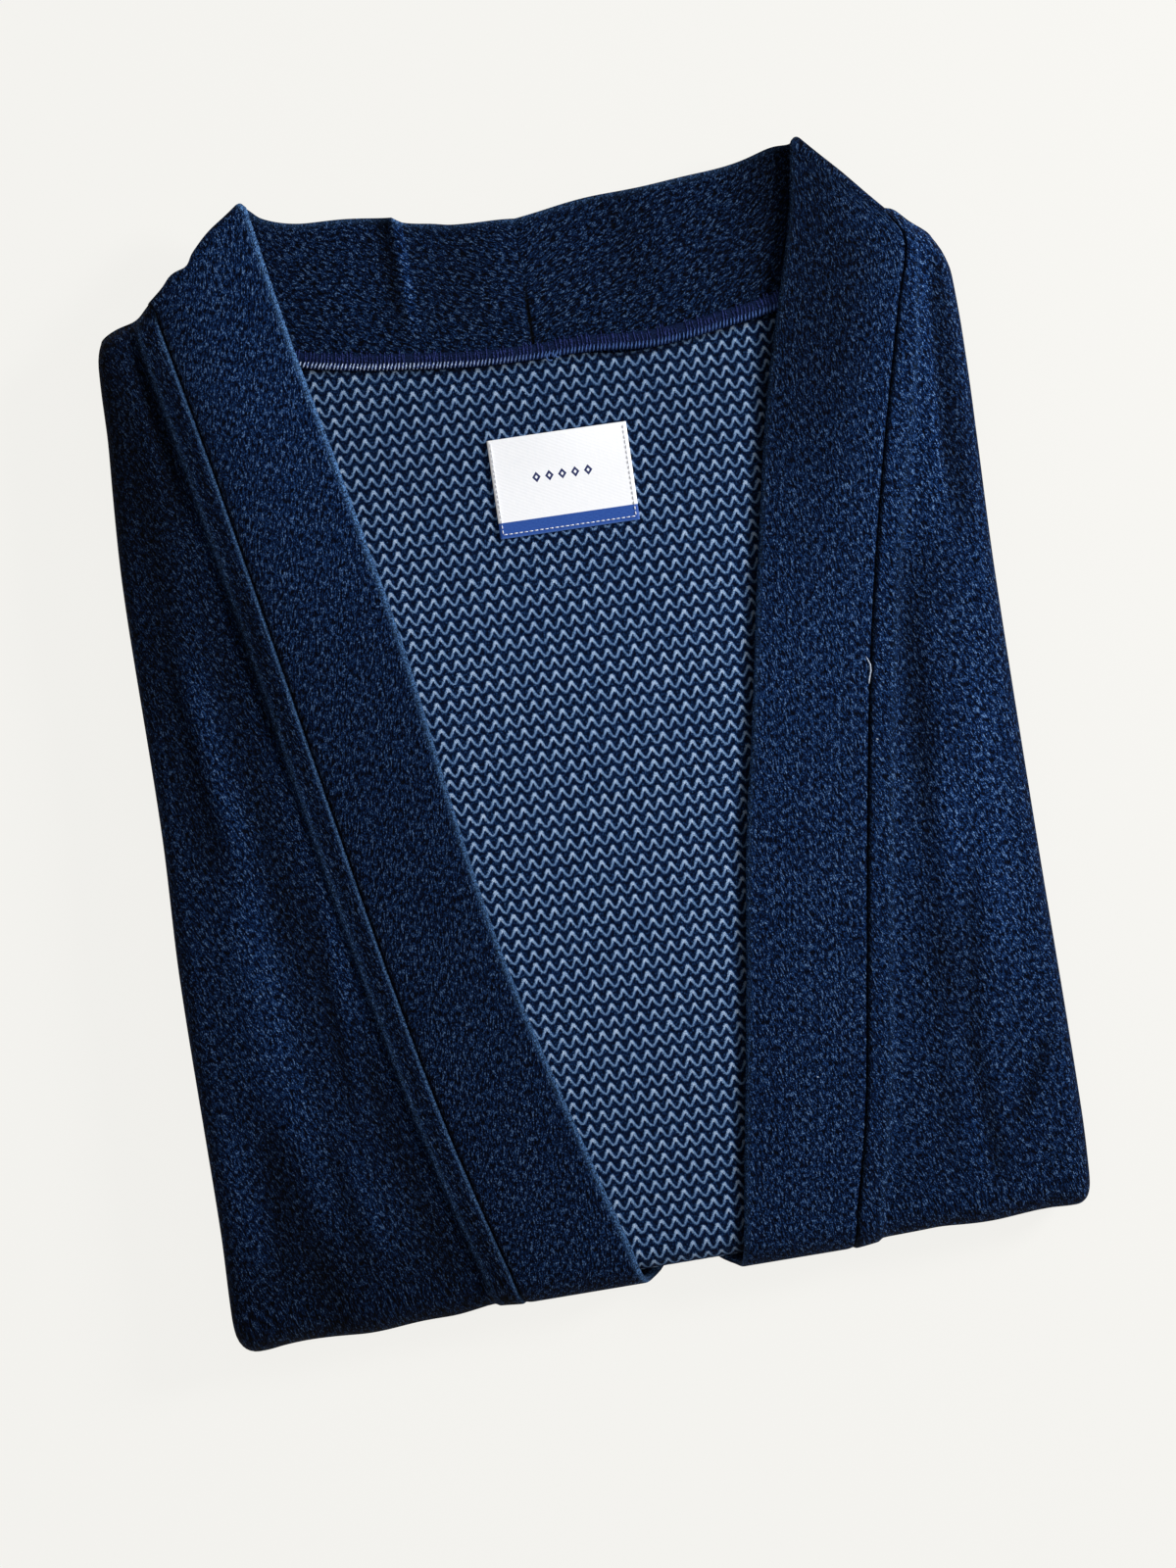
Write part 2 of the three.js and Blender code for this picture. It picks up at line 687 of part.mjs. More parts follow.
// Over the shoulder the band turns from the front on top to the neck stretch beneath
function shoulderBandRings(collar) {
  const top = MID_Z + UPPER.band - HALF_BAND;
  const low = MID_Z + NECK.band;
  const radius = (top - low) / 2;
  const foot = collar.neck[0];
  const seam = new THREE.Vector3(foot.seamX, foot.seamY, (top + low) / 2);
  const edge = new THREE.Vector3(foot.edgeX, foot.edgeY, (top + low) / 2);
  const line = edge.clone().sub(seam).normalize();
  const out = new THREE.Vector3(-line.y, line.x, 0).multiplyScalar(-collar.front.sign);
  const up = new THREE.Vector3(0, 0, 1);
  return [22.5, 45, 67.5, 90, 112.5, 135, 157.5].map((degrees) => {
    const angle = THREE.MathUtils.degToRad(degrees);
    const away = out.clone().multiplyScalar(Math.sin(angle)).addScaledVector(up, Math.cos(angle));
    return bandRing(
      BAND_COLUMNS.map(({ across, half }) => {
        const centre = seam.clone().lerp(edge, across);
        const reach = HALF_BAND * half;
        return {
          outer: centre.clone().addScaledVector(away, radius + reach),
          inner: centre.clone().addScaledVector(away, radius - reach),
        };
      }),
    );
  });
}

function neckPoint(collar, along, across, lift) {
  const at = (name) => curve(collar.neck, "along", name)(along);
  const x = lerp(at("seamX"), at("edgeX"), across);
  const y = lerp(at("seamY"), at("edgeY"), across);
  const seamZ = MID_Z + NECK.band;
  const settled = smoothstep(along, 0, 0.3);
  const z = lerp(seamZ, at("edgeZ"), smoothstep(across, 0.35, 1)) + neckWave(x, across) * settled;
  return new THREE.Vector3(x, y, z + lift);
}

const NECK_STEPS = 16;
const centreBackGap = (along) => (along === 1 ? 1 : 0);

function neckBandRings(collar) {
  const rings = [];
  for (let i = 0; i <= NECK_STEPS; i += 1) {
    const along = i / NECK_STEPS;
    rings.push(
      bandRing(
        BAND_COLUMNS.map(({ across, half }) => {
          const reach = HALF_BAND * half * lerp(1, 0.8, centreBackGap(along));
          return {
            outer: neckPoint(collar, along, across, -reach),
            inner: neckPoint(collar, along, across, reach),
          };
        }),
      ),
    );
  }
  return rings;
}

function collarBand(collar) {
  const down = frontRulings(collar)
    .map((ruling) => frontBandRing(collar, ruling))
    .reverse();
  const outline = bandRing(
    BAND_COLUMNS.map(({ across, half }) => ({
      outer: new THREE.Vector2(across * 50, half * HALF_BAND),
      inner: new THREE.Vector2(across * 50, -half * HALF_BAND),
    })),
  );
  return ringSolid([...down, ...shoulderBandRings(collar), ...neckBandRings(collar)], outline, outline);
}

// The overlocked seam allowance of the neckline, pressed up on to the band
const OVERLOCK = 1.0;
const OVERLOCK_SHARE = 0.115;

function neckOverlock() {
  const side = (collar, reversed) => {
    const rings = [];
    for (let i = 5; i <= NECK_STEPS - 1; i += 1) {
      const along = i / NECK_STEPS;
      const low = HALF_BAND + GAP;
      rings.push([
        neckPoint(collar, along, 0.004, low),
        neckPoint(collar, along, OVERLOCK_SHARE, low),
        neckPoint(collar, along, OVERLOCK_SHARE * 0.9, low + OVERLOCK),
        neckPoint(collar, along, 0.018, low + OVERLOCK),
      ]);
    }
    return reversed ? rings.reverse() : rings;
  };
  const square = [new THREE.Vector2(0, 0), new THREE.Vector2(1, 0), new THREE.Vector2(0.9, 1), new THREE.Vector2(0.1, 1)];
  return ringSolid([...side(COLLARS.left, false), ...side(COLLARS.right, true)], square, square);
}

// The neck label, sewn flat to the inside of the back along its lower edge, its top a little loose
const LABEL_PLACE = { x: 9.4, down: 104.4, width: 56, height: 39.6, turn: -0.022 };

function neckLabel() {
  const { x: middleX, down: middleDown, width, height, turn } = LABEL_PLACE;
  const rows = [];
  for (let j = 0; j <= 6; j += 1) {
    const v = j / 6 - 0.5;
    rows.push(
      Array.from({ length: 7 }, (_, i) => {
        const u = i / 6 - 0.5;
        const x = middleX + u * width + v * height * turn;
        const down = middleDown + v * height - u * width * turn;
        const loose = 0.9 * (1 - smoothstep(v, -0.5, 0.1)) * (0.5 + Math.cos(u * 5) / 2);
        const rise = backRise(x, down) + GAP + LABEL + loose;
        return { x, down, rise, thick: LABEL, across: 0, up: 1 };
      }),
    );
  }
  return wall(rows);
}

const INDIGO = new THREE.MeshStandardMaterial({ color: 0x13284f, roughness: 0.92, metalness: 0 });
const INSIDE_FACE = new THREE.MeshStandardMaterial({ color: 0x40577f, roughness: 0.92, metalness: 0 });
const THREAD = new THREE.MeshStandardMaterial({ color: 0x23306b, roughness: 0.9, metalness: 0 });
const SATIN = new THREE.MeshStandardMaterial({ color: 0xf0f1f4, roughness: 0.55, metalness: 0 });

const wasm = await Module();
wasm.setup();

const jacket = new THREE.Group();
const add = (name, geometry, material) => {
  const mesh = new THREE.Mesh(geometry, material);
  mesh.name = name;
  jacket.add(mesh);
};

add("front_left", frontPanel(FRONTS.left), INDIGO);
add("front_right", frontPanel(FRONTS.right), INDIGO);
add("back_panel", backPanel(), INSIDE_FACE);
add("collar_left", collarBand(COLLARS.left), INDIGO);
add("collar_right", collarBand(COLLARS.right), INDIGO);
add("neck_overlock", neckOverlock(), THREAD);
add("neck_label", neckLabel(), SATIN);
add("sleeve_left", sleeve(FRONTS.left), INDIGO);
add("sleeve_right", sleeve(FRONTS.right), INDIGO);
add("hidden_layers", hiddenLayers(wasm), INDIGO);

export default jacket;
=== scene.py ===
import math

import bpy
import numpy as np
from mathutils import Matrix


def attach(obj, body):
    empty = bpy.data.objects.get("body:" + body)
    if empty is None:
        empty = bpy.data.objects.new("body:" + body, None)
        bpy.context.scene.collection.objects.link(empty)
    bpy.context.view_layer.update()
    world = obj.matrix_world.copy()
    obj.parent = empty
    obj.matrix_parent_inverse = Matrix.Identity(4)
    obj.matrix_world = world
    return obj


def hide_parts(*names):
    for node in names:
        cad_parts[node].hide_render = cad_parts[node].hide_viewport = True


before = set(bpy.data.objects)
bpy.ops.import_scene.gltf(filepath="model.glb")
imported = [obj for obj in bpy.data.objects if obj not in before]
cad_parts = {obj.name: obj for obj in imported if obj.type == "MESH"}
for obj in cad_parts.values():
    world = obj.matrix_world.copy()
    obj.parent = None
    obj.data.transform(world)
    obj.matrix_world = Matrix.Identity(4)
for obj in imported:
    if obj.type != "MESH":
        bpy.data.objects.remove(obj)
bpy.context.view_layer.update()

# A haori jacket of thick indigo sashiko knit, folded into a flat packet and laid on its back.
# Places on the cloth are in millimetres: x across the packet, and "down" along the cloth from the shoulders,
# round the bottom fold and back up underneath. Meshes are made in metres.

MM = 0.001

# The packet, as the solids have it
CLOTH = 1.6
BAND = 3.0
HALF_BAND = BAND / 2
ALLOWANCE_WIDTH = 10.5
GAP = 0.3
SHOULDER_Y = 200.0
FOLD_Y = -211.0
MID_Z = 13.0
FOLD_START = SHOULDER_Y - FOLD_Y
FOLD_RADIUS = 10
FOLD_END = FOLD_START + math.pi * FOLD_RADIUS
UNDERSIDE = 377
HEM = FOLD_END + UNDERSIDE
INSIDE = 2.0
UPPER = {"back": 12.4, "band": 15.8, "ridge": 15.7, "panel": 14.5}
LOWER = {"back": 9.6, "band": 13.0, "ridge": 13.0, "panel": 13.0}
NECK_BAND = 9.1
NECK_BACK = 10.2
BACK_TOP = 50.0
BACK_UNDERLAP = 19.0


def curve(table, at, value):
    """A smooth curve through the columns of a table."""
    a = np.array(table[at], float)
    v = np.array(table[value], float)
    low = np.maximum(np.arange(len(a)) - 1, 0)
    high = np.minimum(np.arange(len(a)) + 1, len(a) - 1)
    slope = (v[high] - v[low]) / (a[high] - a[low])

    def read(place):
        p = np.clip(np.asarray(place, float), a[0], a[-1])
        i = np.clip(np.searchsorted(a, p) - 1, 0, len(a) - 2)
        span = a[i + 1] - a[i]
        t = (p - a[i]) / span
        u = 1 - t
        ends = v[i] * (1 + 2 * t) * u * u + v[i + 1] * (3 - 2 * t) * t * t
        return ends + slope[i] * span * t * u * u - slope[i + 1] * span * t * t * u

    return read


def smooth(value, low, high):
    t = np.clip((np.asarray(value, float) - low) / (high - low), 0, 1)
    return t * t * (3 - 2 * t)


def mix(a, b, share):
    return a + (b - a) * share


def bell(off, reach):
    return np.exp(-((off / reach) ** 2))


def wall(outer, inner):
    """A ring round a wall: the outer columns, then the inner ones back."""
    return np.concatenate([outer, inner[::-1]])


def mirrored(values):
    return wall(values, values)


def run_length(points):
    """The length from the first point to each of them."""
    return np.concatenate([[0], np.cumsum(np.linalg.norm(np.diff(points, axis=0), axis=1))])


class Front:
    """One front: the collar's free edge, its seam and the side fold, by the length down the cloth."""

    def __init__(self, name, sign, edge, seam, side, shoulder, bulge):
        self.name = name
        self.sign = sign
        self.edge_x = curve(edge, "down", "x")
        self.seam_x = curve(seam, "down", "x")
        self.side_x = curve(side, "down", "x")
        self.shoulder_down = curve(shoulder, "x", "down")
        self.start = seam["down"][0]
        self.bulge = bulge


LEFT = Front(
    "left",
    -1,
    edge={
        "down": (-24, 34, 90, 158, 246, 297, 350, 407, 427, 435, 465, 540, 820),
        "x": (-97.3, -87.9, -76.9, -64.3, -52.5, -43.3, -30.3, -15.1, -8.5, -1.6, 2, 3, 3),
    },
    seam={
        "down": (11, 22, 68, 142, 218, 289, 350, 407, 427, 465, 540, 820),
        "x": (-140.2, -138.2, -129.2, -116.3, -103.6, -91.3, -79.2, -64.9, -58.6, -50, -47, -47),
    },
    side={
        "down": (8, 11, 20, 57, 117, 217, 277, 377, 411, 427, 443, 640, 820),
        "x": (-160, -164, -166.4, -167.6, -171.3, -172.2, -174.7, -175.2, -176.4, -176, -174.5, -171, -168),
    },
    shoulder={
        "x": (-170, -163, -157, -149, -141, -134),
        "down": (24, 17.8, 14.8, 13, 11, 11),
    },
    bulge=1.9,
)
RIGHT = Front(
    "right",
    1,
    edge={
        "down": (-13, 18, 80, 144, 217, 254, 313, 380, 427, 435, 465, 540, 820),
        "x": (120.6, 114.6, 96.1, 81.5, 66.6, 58.4, 48.4, 36.5, 26.8, 18.4, 14.5, 11, 11),
    },
    seam={
        "down": (20, 32, 57, 121, 188, 262, 320, 375, 427, 465, 540, 820),
        "x": (153.4, 159.4, 152.4, 135, 119.5, 105.7, 95.8, 85.9, 72.6, 64, 61, 61),
    },
    side={
        "down": (20, 23, 33, 80, 117, 167, 277, 387, 427, 443, 640, 820),
        "x": (171, 174.4, 176.2, 176.4, 175.3, 173.6, 172.6, 172.2, 170.2, 169.5, 170, 170),
    },
    shoulder={
        "x": (150, 157, 163, 170, 176),
        "down": (20, 20.5, 25, 30.5, 39),
    },
    bulge=-1.5,
)

NECKLINE = {
    "x": (-137, -112, -86, -57, -18, 22, 47, 88, 118, 152),
    "down": (24, 34, 43, 48, 53.5, 54.7, 57.6, 53.8, 49, 36),
}
neck_down = curve(NECKLINE, "x", "down")

# The soft folds of the fronts: where each starts and ends on the cloth, its half width and its height
FOLDS = {
    "x1": (-146, -147, -156, -138, -112, 168, 147, 158, 128),
    "down1": (250, 330, 40, 120, 300, 50, 150, 200, 290),
    "x2": (-146, -133, -160, -124, -84, 164, 138, 152, 120),
    "down2": (360, 425, 240, 300, 420, 150, 250, 330, 400),
    "reach": (7, 8, 7, 8, 7, 6, 8, 8, 8),
    "height": (1.1, -1.3, -1.0, -0.9, -1.1, -1.4, -1.2, 0.8, -1.0),
}
# Sharper creases, which only the cloth's own mesh has: those of the left front, then of the right
CREASES = {
    "x1": (-152, -143, -164, -152, -156, -128, -149, -112, -118, -165.5, -119.5, -127)
    + (165, 171, 146, 137, 133, 126, 165, 144),
    "down1": (150, 222, 140, 20, 16, 120, 330, 250, 250, 335, 355, 345)
    + (26, 38, 165, 165, 345, 335, 352, 282),
    "x2": (-142, -134, -150, -141, -149, -118, -152, -110, -115, -160, -109.5, -120)
    + (156, 160, 136, 128, 135, 128, 145, 135),
    "down2": (232, 392, 240, 98, 80, 200, 405, 340, 345, 395, 402, 402)
    + (135, 130, 292, 292, 408, 405, 388, 350),
    "reach": (6, 7, 6, 4, 3.5, 5, 5, 3.4, 3.4, 3.6, 3.4, 4) + (3.4, 3.6, 6, 5, 4, 6, 4, 4),
    "height": (1.2, 1.2, -1.4, -1.3, 0.8, -0.8, -0.9, 0.9, -0.9, 1.0, 0.9, -0.8)
    + (1.3, -1.1, 1.1, -1.0, -1.4, 0.8, -1.1, -0.9),
}


def fold_rise(folds, x, down):
    rise = np.zeros(np.broadcast(x, down).shape)
    for x1, down1, x2, down2, reach, height in zip(*folds.values()):
        along = (down - down1) / (down2 - down1)
        off = x - mix(x1, x2, along)
        ends = smooth(along, -0.15, 0.25) * (1 - smooth(along, 0.75, 1.15))
        rise = rise + height * ends * bell(off, reach)
    return rise


CROWN = 3
CROWN_REACH = 34
# How much further out the collar's doubled band lies at the bottom fold
BAND_SAG = 1.4


def crown(front, x, down):
    """Near the shoulders each front stands highest along the collar seam and slopes off both ways."""
    off = x - front.seam_x(down)
    along = smooth(down, front.start + 6, front.start + 50) * (1 - smooth(down, 110, 240))
    return CROWN * along * bell(off, CROWN_REACH)


def upper_share(down):
    return 1 - smooth(down, FOLD_START, FOLD_END)


def turn_of(down):
    return math.pi * np.clip((down - FOLD_START) / (FOLD_END - FOLD_START), 0, 1)


def place(x, down, rise):
    """A point of the cloth, in millimetres in the frame: rise is its distance from the middle plane."""
    turn = turn_of(down)
    y = np.where(down < FOLD_END, np.maximum(SHOULDER_Y - down, FOLD_Y), FOLD_Y + down - FOLD_END)
    z = np.maximum(MID_Z + rise * np.cos(turn), 0)
    return np.stack(np.broadcast_arrays(x, y - rise * np.sin(turn), z), -1)


def level(name, down):
    return mix(LOWER[name], UPPER[name], upper_share(down))


def narrowing(width):
    """What the allowance is narrowed by where the front is too narrow for all of it, near the shoulder."""
    return np.clip((np.abs(width) - 7.5) / 22, 0.3, 1)


def seam_distance(front, x, down):
    seam = front.seam_x(down)
    return np.abs(x - seam) / narrowing(front.side_x(down) - seam)


def soft_rise(x, down):
    return fold_rise(FOLDS, x, down) + fold_rise(CREASES, x, down)


# The least distance between a front and its turned side
THINNEST = 4.8


def panel_rise(front, x, down):
    from_seam = seam_distance(front, x, down)
    top = upper_share(down)
    ridge = level("ridge", down) + top * (0.5 - 1.5 * np.sqrt(1 - smooth(from_seam, -0.6, 1.6)))
    puff = 2.0 * top * smooth(from_seam, 12, 32)
    body = level("panel", down) + puff + soft_rise(x, down) * top
    sag = BAND_SAG * (1 - smooth(from_seam, 0, 16))
    swell = (front.bulge + 0.7 * np.sin(x / 8 - 1.9)) * smooth(from_seam, 5, 40)
    bulge = (sag + swell) * np.sin(turn_of(down))
    step = smooth(from_seam, ALLOWANCE_WIDTH - 0.5, ALLOWANCE_WIDTH + 2.2)
    opened = mix(ridge, body, step) + bulge + crown(front, x, down)
    from_shoulder = np.clip((down - front.shoulder_down(x)) / 10, 0, 1)
    closed = np.sqrt(1 - (1 - from_shoulder) ** 2)
    return np.maximum(mix(INSIDE, opened, closed), INSIDE + THINNEST)


# The columns of a front: how far the first ones lie from the seam, and how many follow
CLOSE_COLUMNS = (0.12, 0.3, 0.6, 1.0, 1.5, 2.2, 3.2, 4.6, 6.2, 8, 9.4, 10.2, 10.9, 11.6, 12.4, 13.4)
FRONT_COLUMNS = 40
WRAP_COLUMNS = 14
# How far each side goes on behind the packet, past its fold
TURNED_BEHIND = 13.0


def front_row(front, base):
    """The cross-section of a front: x, down, rise and the direction outwards, for each column."""
    sign = front.sign
    seam = float(front.seam_x(base))
    side = float(front.side_x(base))
    near = 1 - float(smooth(base - front.start, 12, 70))
    lift = float(front.shoulder_down(seam))

    def slant(x):
        return base + (front.shoulder_down(x) - lift) * near

    edge_rise = float(panel_rise(front, side - sign * 7, slant(side - sign * 7)))
    radius = (edge_rise - INSIDE) / 2
    middle = side - sign * radius
    width = abs(middle - seam)
    close = np.array(CLOSE_COLUMNS) * narrowing(side - seam)
    far = np.linspace(close[-1], width, FRONT_COLUMNS + 1)[1:]
    flat_x = seam + sign * np.concatenate([close, far])
    flat_rise = mix(
        panel_rise(front, flat_x, slant(flat_x)), edge_rise, smooth(sign * (flat_x - middle), -10, 0)
    )
    angle = math.pi * (0.5 - np.arange(1, WRAP_COLUMNS + 1) / WRAP_COLUMNS)
    wrap_x = middle + radius * sign * np.cos(angle)
    wrap_rise = INSIDE + radius * (1 + np.sin(angle))
    end_x = middle - sign * TURNED_BEHIND
    x = np.concatenate([flat_x, wrap_x, [end_x]])
    rise = np.concatenate([flat_rise, wrap_rise, [INSIDE]])
    across = np.concatenate([np.zeros(len(flat_x)), sign * np.cos(angle), [0]])
    up = np.concatenate([np.ones(len(flat_x)), np.sin(angle), [-1]])
    return x, slant(x), rise, across, up


ROW_STEP = 3.2
BEND_STEP = 1.6
UNDER_STEP = 12


def steps(low, high, step):
    return np.linspace(low, high, max(2, int(round((high - low) / step)) + 1))


def long_rows(start, step=ROW_STEP):
    """Rows down the top, closer round the bottom fold and wide apart underneath."""
    top = steps(start, FOLD_START, step)
    bend = steps(FOLD_START, FOLD_END, BEND_STEP)[1:]
    under = steps(FOLD_END, HEM - 24, UNDER_STEP)[1:]
    return np.concatenate([top, bend, under, [HEM - 19, HEM - 10, HEM - 3, HEM]])


# Meshes


def link(item):
    bpy.context.scene.collection.objects.link(item)


def add_mesh(name, points, faces, material, slot, uv=None, **fields):
    """A smooth mesh from points in millimetres. uv is in millimetres of cloth, one for each point."""
    mesh = bpy.data.meshes.new(name)
    mesh.from_pydata((points * MM).tolist(), [], faces)
    if uv is not None:
        layer = mesh.uv_layers.new(name="cloth")
        corner = np.empty(len(mesh.loops), np.int32)
        mesh.loops.foreach_get("vertex_index", corner)
        layer.data.foreach_set("uv", uv[corner].astype(np.float32).ravel())
    for field, values in fields.items():
        attribute = mesh.attributes.new(field, "FLOAT", "POINT")
        attribute.data.foreach_set("value", np.asarray(values, np.float32).ravel())
    mesh.polygons.foreach_set("use_smooth", np.ones(len(mesh.polygons), bool))
    mesh.update()
    piece = bpy.data.objects.new(name, mesh)
    link(piece)
    mesh.materials.append(material)
    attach(piece, "root")
    return piece


def shell(rings):
    """Faces of a closed wall. Each ring holds its outer columns, then the same columns back inside."""
    rows, count = rings.shape[:2]
    index = np.arange(rows * count).reshape(rows, count)
    turned = np.roll(index, -1, axis=1)
    quads = np.stack([index[:-1], turned[:-1], turned[1:], index[1:]], -1).reshape(-1, 4)
    half = count // 2
    caps = []
    for ring, flip in ((index[0], True), (index[-1], False)):
        for i in range(half - 1):
            quad = [ring[i], ring[i + 1], ring[count - 2 - i], ring[count - 1 - i]]
            caps.append(quad[::-1] if flip else quad)
    faces = np.concatenate([quads, np.array(caps)])
    volume = signed_volume(rings.reshape(-1, 3), faces)
    return (faces[:, ::-1] if volume < 0 else faces).tolist()


def cloth_mesh(name, rings, material, slot, uvs, **fields):
    """A sheet of cloth as a closed wall, from its rings and a uv and field value for each point of them."""
    rings = np.array(rings)
    uv = np.array(uvs).reshape(-1, 2)
    return add_mesh(name, rings.reshape(-1, 3), shell(rings), material, slot, uv, **fields)


def signed_volume(points, faces):
    a, b, c, d = (points[faces[:, i]] for i in range(4))
    return float((np.einsum("ij,ij->i", a, np.cross(b, c)) + np.einsum("ij,ij->i", a, np.cross(c, d))).sum())


# Painted shade: the left and the lower end are painted a little darker, and so is what slopes to the left,
# away from the light
PAINTED_SHADE_ALL = 0.79
PAINTED_SHADE_LEFT = 0.61
PAINTED_SHADE_LOW = 0.86
# Painted highlight where the cloth slopes to the right near the shoulders, and painted shade where it slopes
# to the left
SLOPE_PAINTED_LIGHT = {"left": 0.6, "right": 0.22}
SLOPE_PAINTED_SHADE = 0.6


# Painted shade and highlight, by place on the cloth and by slope
def painted_shade_by_place(front, x, down):
    shade = mix(PAINTED_SHADE_LEFT, 1.0, smooth(x, -130, 120)) * mix(1.0, PAINTED_SHADE_LOW, smooth(down, 150, 400))
    facing = np.clip((x - front.seam_x(down)) / 22, -1, 1)
    top = 1 - smooth(down, 50, 200)
    slope = facing * np.where(facing > 0, SLOPE_PAINTED_LIGHT[front.name], SLOPE_PAINTED_SHADE)
    return shade * (1 + top * slope) * PAINTED_SHADE_ALL


def painted_seam_shadow(front, from_seam):
    """The seam's painted shadow line, on the side that is away from the panel's folded edge."""
    deep, wide = SEAM_SHADOW[front.name]
    return 1 - deep * bell(from_seam, wide)


# Wear and painted highlight along the seam and along the allowance's edge, and the depth and width of the
# seam's painted shadow line
SEAM_WEAR_AND_HIGHLIGHT = {"left": 1.7, "right": 0.15}
ALLOWANCE_WEAR_AND_HIGHLIGHT = {"left": 0.45, "right": 0.12}
SEAM_SHADOW = {"left": (0.85, 1.7), "right": (0.96, 1.6)}
# At the shoulder the front rises to meet the band, over this reach from the seam, and tucks under it
SHOULDER_LIFT = {"left": 5.6, "right": 2.6}
SHOULDER_REACH = {"left": 5.5, "right": 9.0}
TUCK = 1.6
# How much lighter a soft fold's crest is painted than the hollow beside it (painted highlight and shade),
# and how dark the painted shade in the allowance's hollow is
FOLD_PAINTED_LIGHT = 0.5
VALLEY_PAINTED_SHADE = 0.42
# What is left of the light just above the bottom fold, and on a wall's inner side
FOLD_DEPTH = {"left": 0.68, "right": 0.85}
INNER_SHADE = 0.6


def front_cloth(front, material):
    first_rows = front.start + np.array([0, 0.3, 0.8, 1.6, 2.8, 4.4, 6.4, 9, 12, 15, 18])
    rows = np.concatenate([first_rows, long_rows(front.start + 21)])
    rings, uvs, wears, shades = [], [], [], []
    for base in rows:
        x, down, rise, across, up = front_row(front, base)
        seam = float(front.seam_x(base))
        near = 1 - float(smooth(base - front.start, 0, 9))
        beside = bell(x - seam, SHOULDER_REACH[front.name])
        raised = down - SHOULDER_LIFT[front.name] * beside * near
        tuck = TUCK * near * bell(x - seam, 2.5)
        x = x - front.sign * tuck
        outer = place(x, raised, rise)
        inner = place(x - across * CLOTH, raised, rise - up * CLOTH)
        rings.append(wall(outer, inner))
        reach = np.concatenate([[0], np.cumsum(np.hypot(np.diff(x), np.diff(rise)))])
        u = front.sign * reach + seam
        uvs.append(np.stack([mirrored(u), mirrored(down)], -1))
        from_seam = seam_distance(front, x, down)
        on_top = up > 0.5
        # Wear and painted highlight along the seam and the allowance's edge, strongest on the left, where
        # the edges face the light
        wear = SEAM_WEAR_AND_HIGHLIGHT[front.name] * bell(from_seam - 0.8, 0.5) * on_top
        edge = bell(from_seam - ALLOWANCE_WIDTH + 0.6, 1.0)
        wear = wear + ALLOWANCE_WEAR_AND_HIGHLIGHT[front.name] * edge * on_top
        wears.append(np.concatenate([wear, np.zeros(len(x))]))
        # Painted shade by place and slope, and painted shade just above the bottom fold
        shade = painted_shade_by_place(front, x, down) * mix(1.0, FOLD_DEPTH[front.name], smooth(down, 372, 408))
        if front.name == "right":
            # Painted shadow along the seam
            shade = shade * np.where(on_top, painted_seam_shadow(front, from_seam), 1)
        # Painted highlight on the folds' crests and painted shade in their hollows, then painted shade in
        # the allowance's hollow on the left
        fold = FOLD_PAINTED_LIGHT * soft_rise(x, down) * on_top * upper_share(down)
        shade = shade * np.clip(1 + fold, 0.45, 1.7)
        valley_shade = 1 - VALLEY_PAINTED_SHADE * bell(from_seam - 5, 2.8) * on_top
        shade = shade * (valley_shade if front.name == "left" else 1)
        # Painted shade where the cloth turns down round the side
        shade = shade * mix(0.5, 1.0, np.clip(up, 0, 1))
        shades.append(wall(shade, shade * INNER_SHADE))
    name = f"front_{front.name}_cloth"
    piece = cloth_mesh(name, rings, material, "indigo_knit", uvs, wear=wears, shade=shades)
    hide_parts(f"front_{front.name}")
    return piece


# The back, seen from inside


BACK_DIP = 1.0
BACK_COLUMNS = 72


def back_rise(x, down):
    neck = smooth(down, neck_down(x), neck_down(x) + 42)
    return mix(NECK_BACK, level("back", down) - BACK_DIP * np.sin(turn_of(down)), neck)


def back_cloth(material):
    rows = np.concatenate([BACK_TOP + np.array([0, 1.5, 3]), long_rows(BACK_TOP + 6)])
    rings, uvs, shades = [], [], []
    for base in rows:
        left = float(LEFT.edge_x(base)) - BACK_UNDERLAP
        right = float(RIGHT.edge_x(base)) + BACK_UNDERLAP
        x = np.linspace(left, right, BACK_COLUMNS)
        near = 1 - float(smooth(base, 60, 120))
        down = base + (neck_down(x) + GAP - BACK_TOP) * near
        rise = back_rise(x, down)
        rings.append(wall(place(x, down, rise), place(x, down, rise - CLOTH)))
        uvs.append(np.stack([mirrored(x), mirrored(down)], -1))
        # Painted shadow under the overlocked neck edge and beside the right band's free edge, and painted
        # shade towards the neck and the lower end
        below = down - neck_down(x)
        shade = mix(0.2, 1.0, smooth(below, 0.5, 3.4)) * mix(0.8, 1.0, smooth(below, 10, 110))
        shade = shade * mix(1.0, 0.9, smooth(down, 260, 400))
        shade = shade * mix(0.25, 1.0, smooth(RIGHT.edge_x(down) - x, 0.5, 5.5))
        shades.append(mirrored(shade))
    piece = cloth_mesh("back_cloth", rings, material, "knit_inside", uvs, shade=shades)
    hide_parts("back_panel")
    return piece


# The collar band

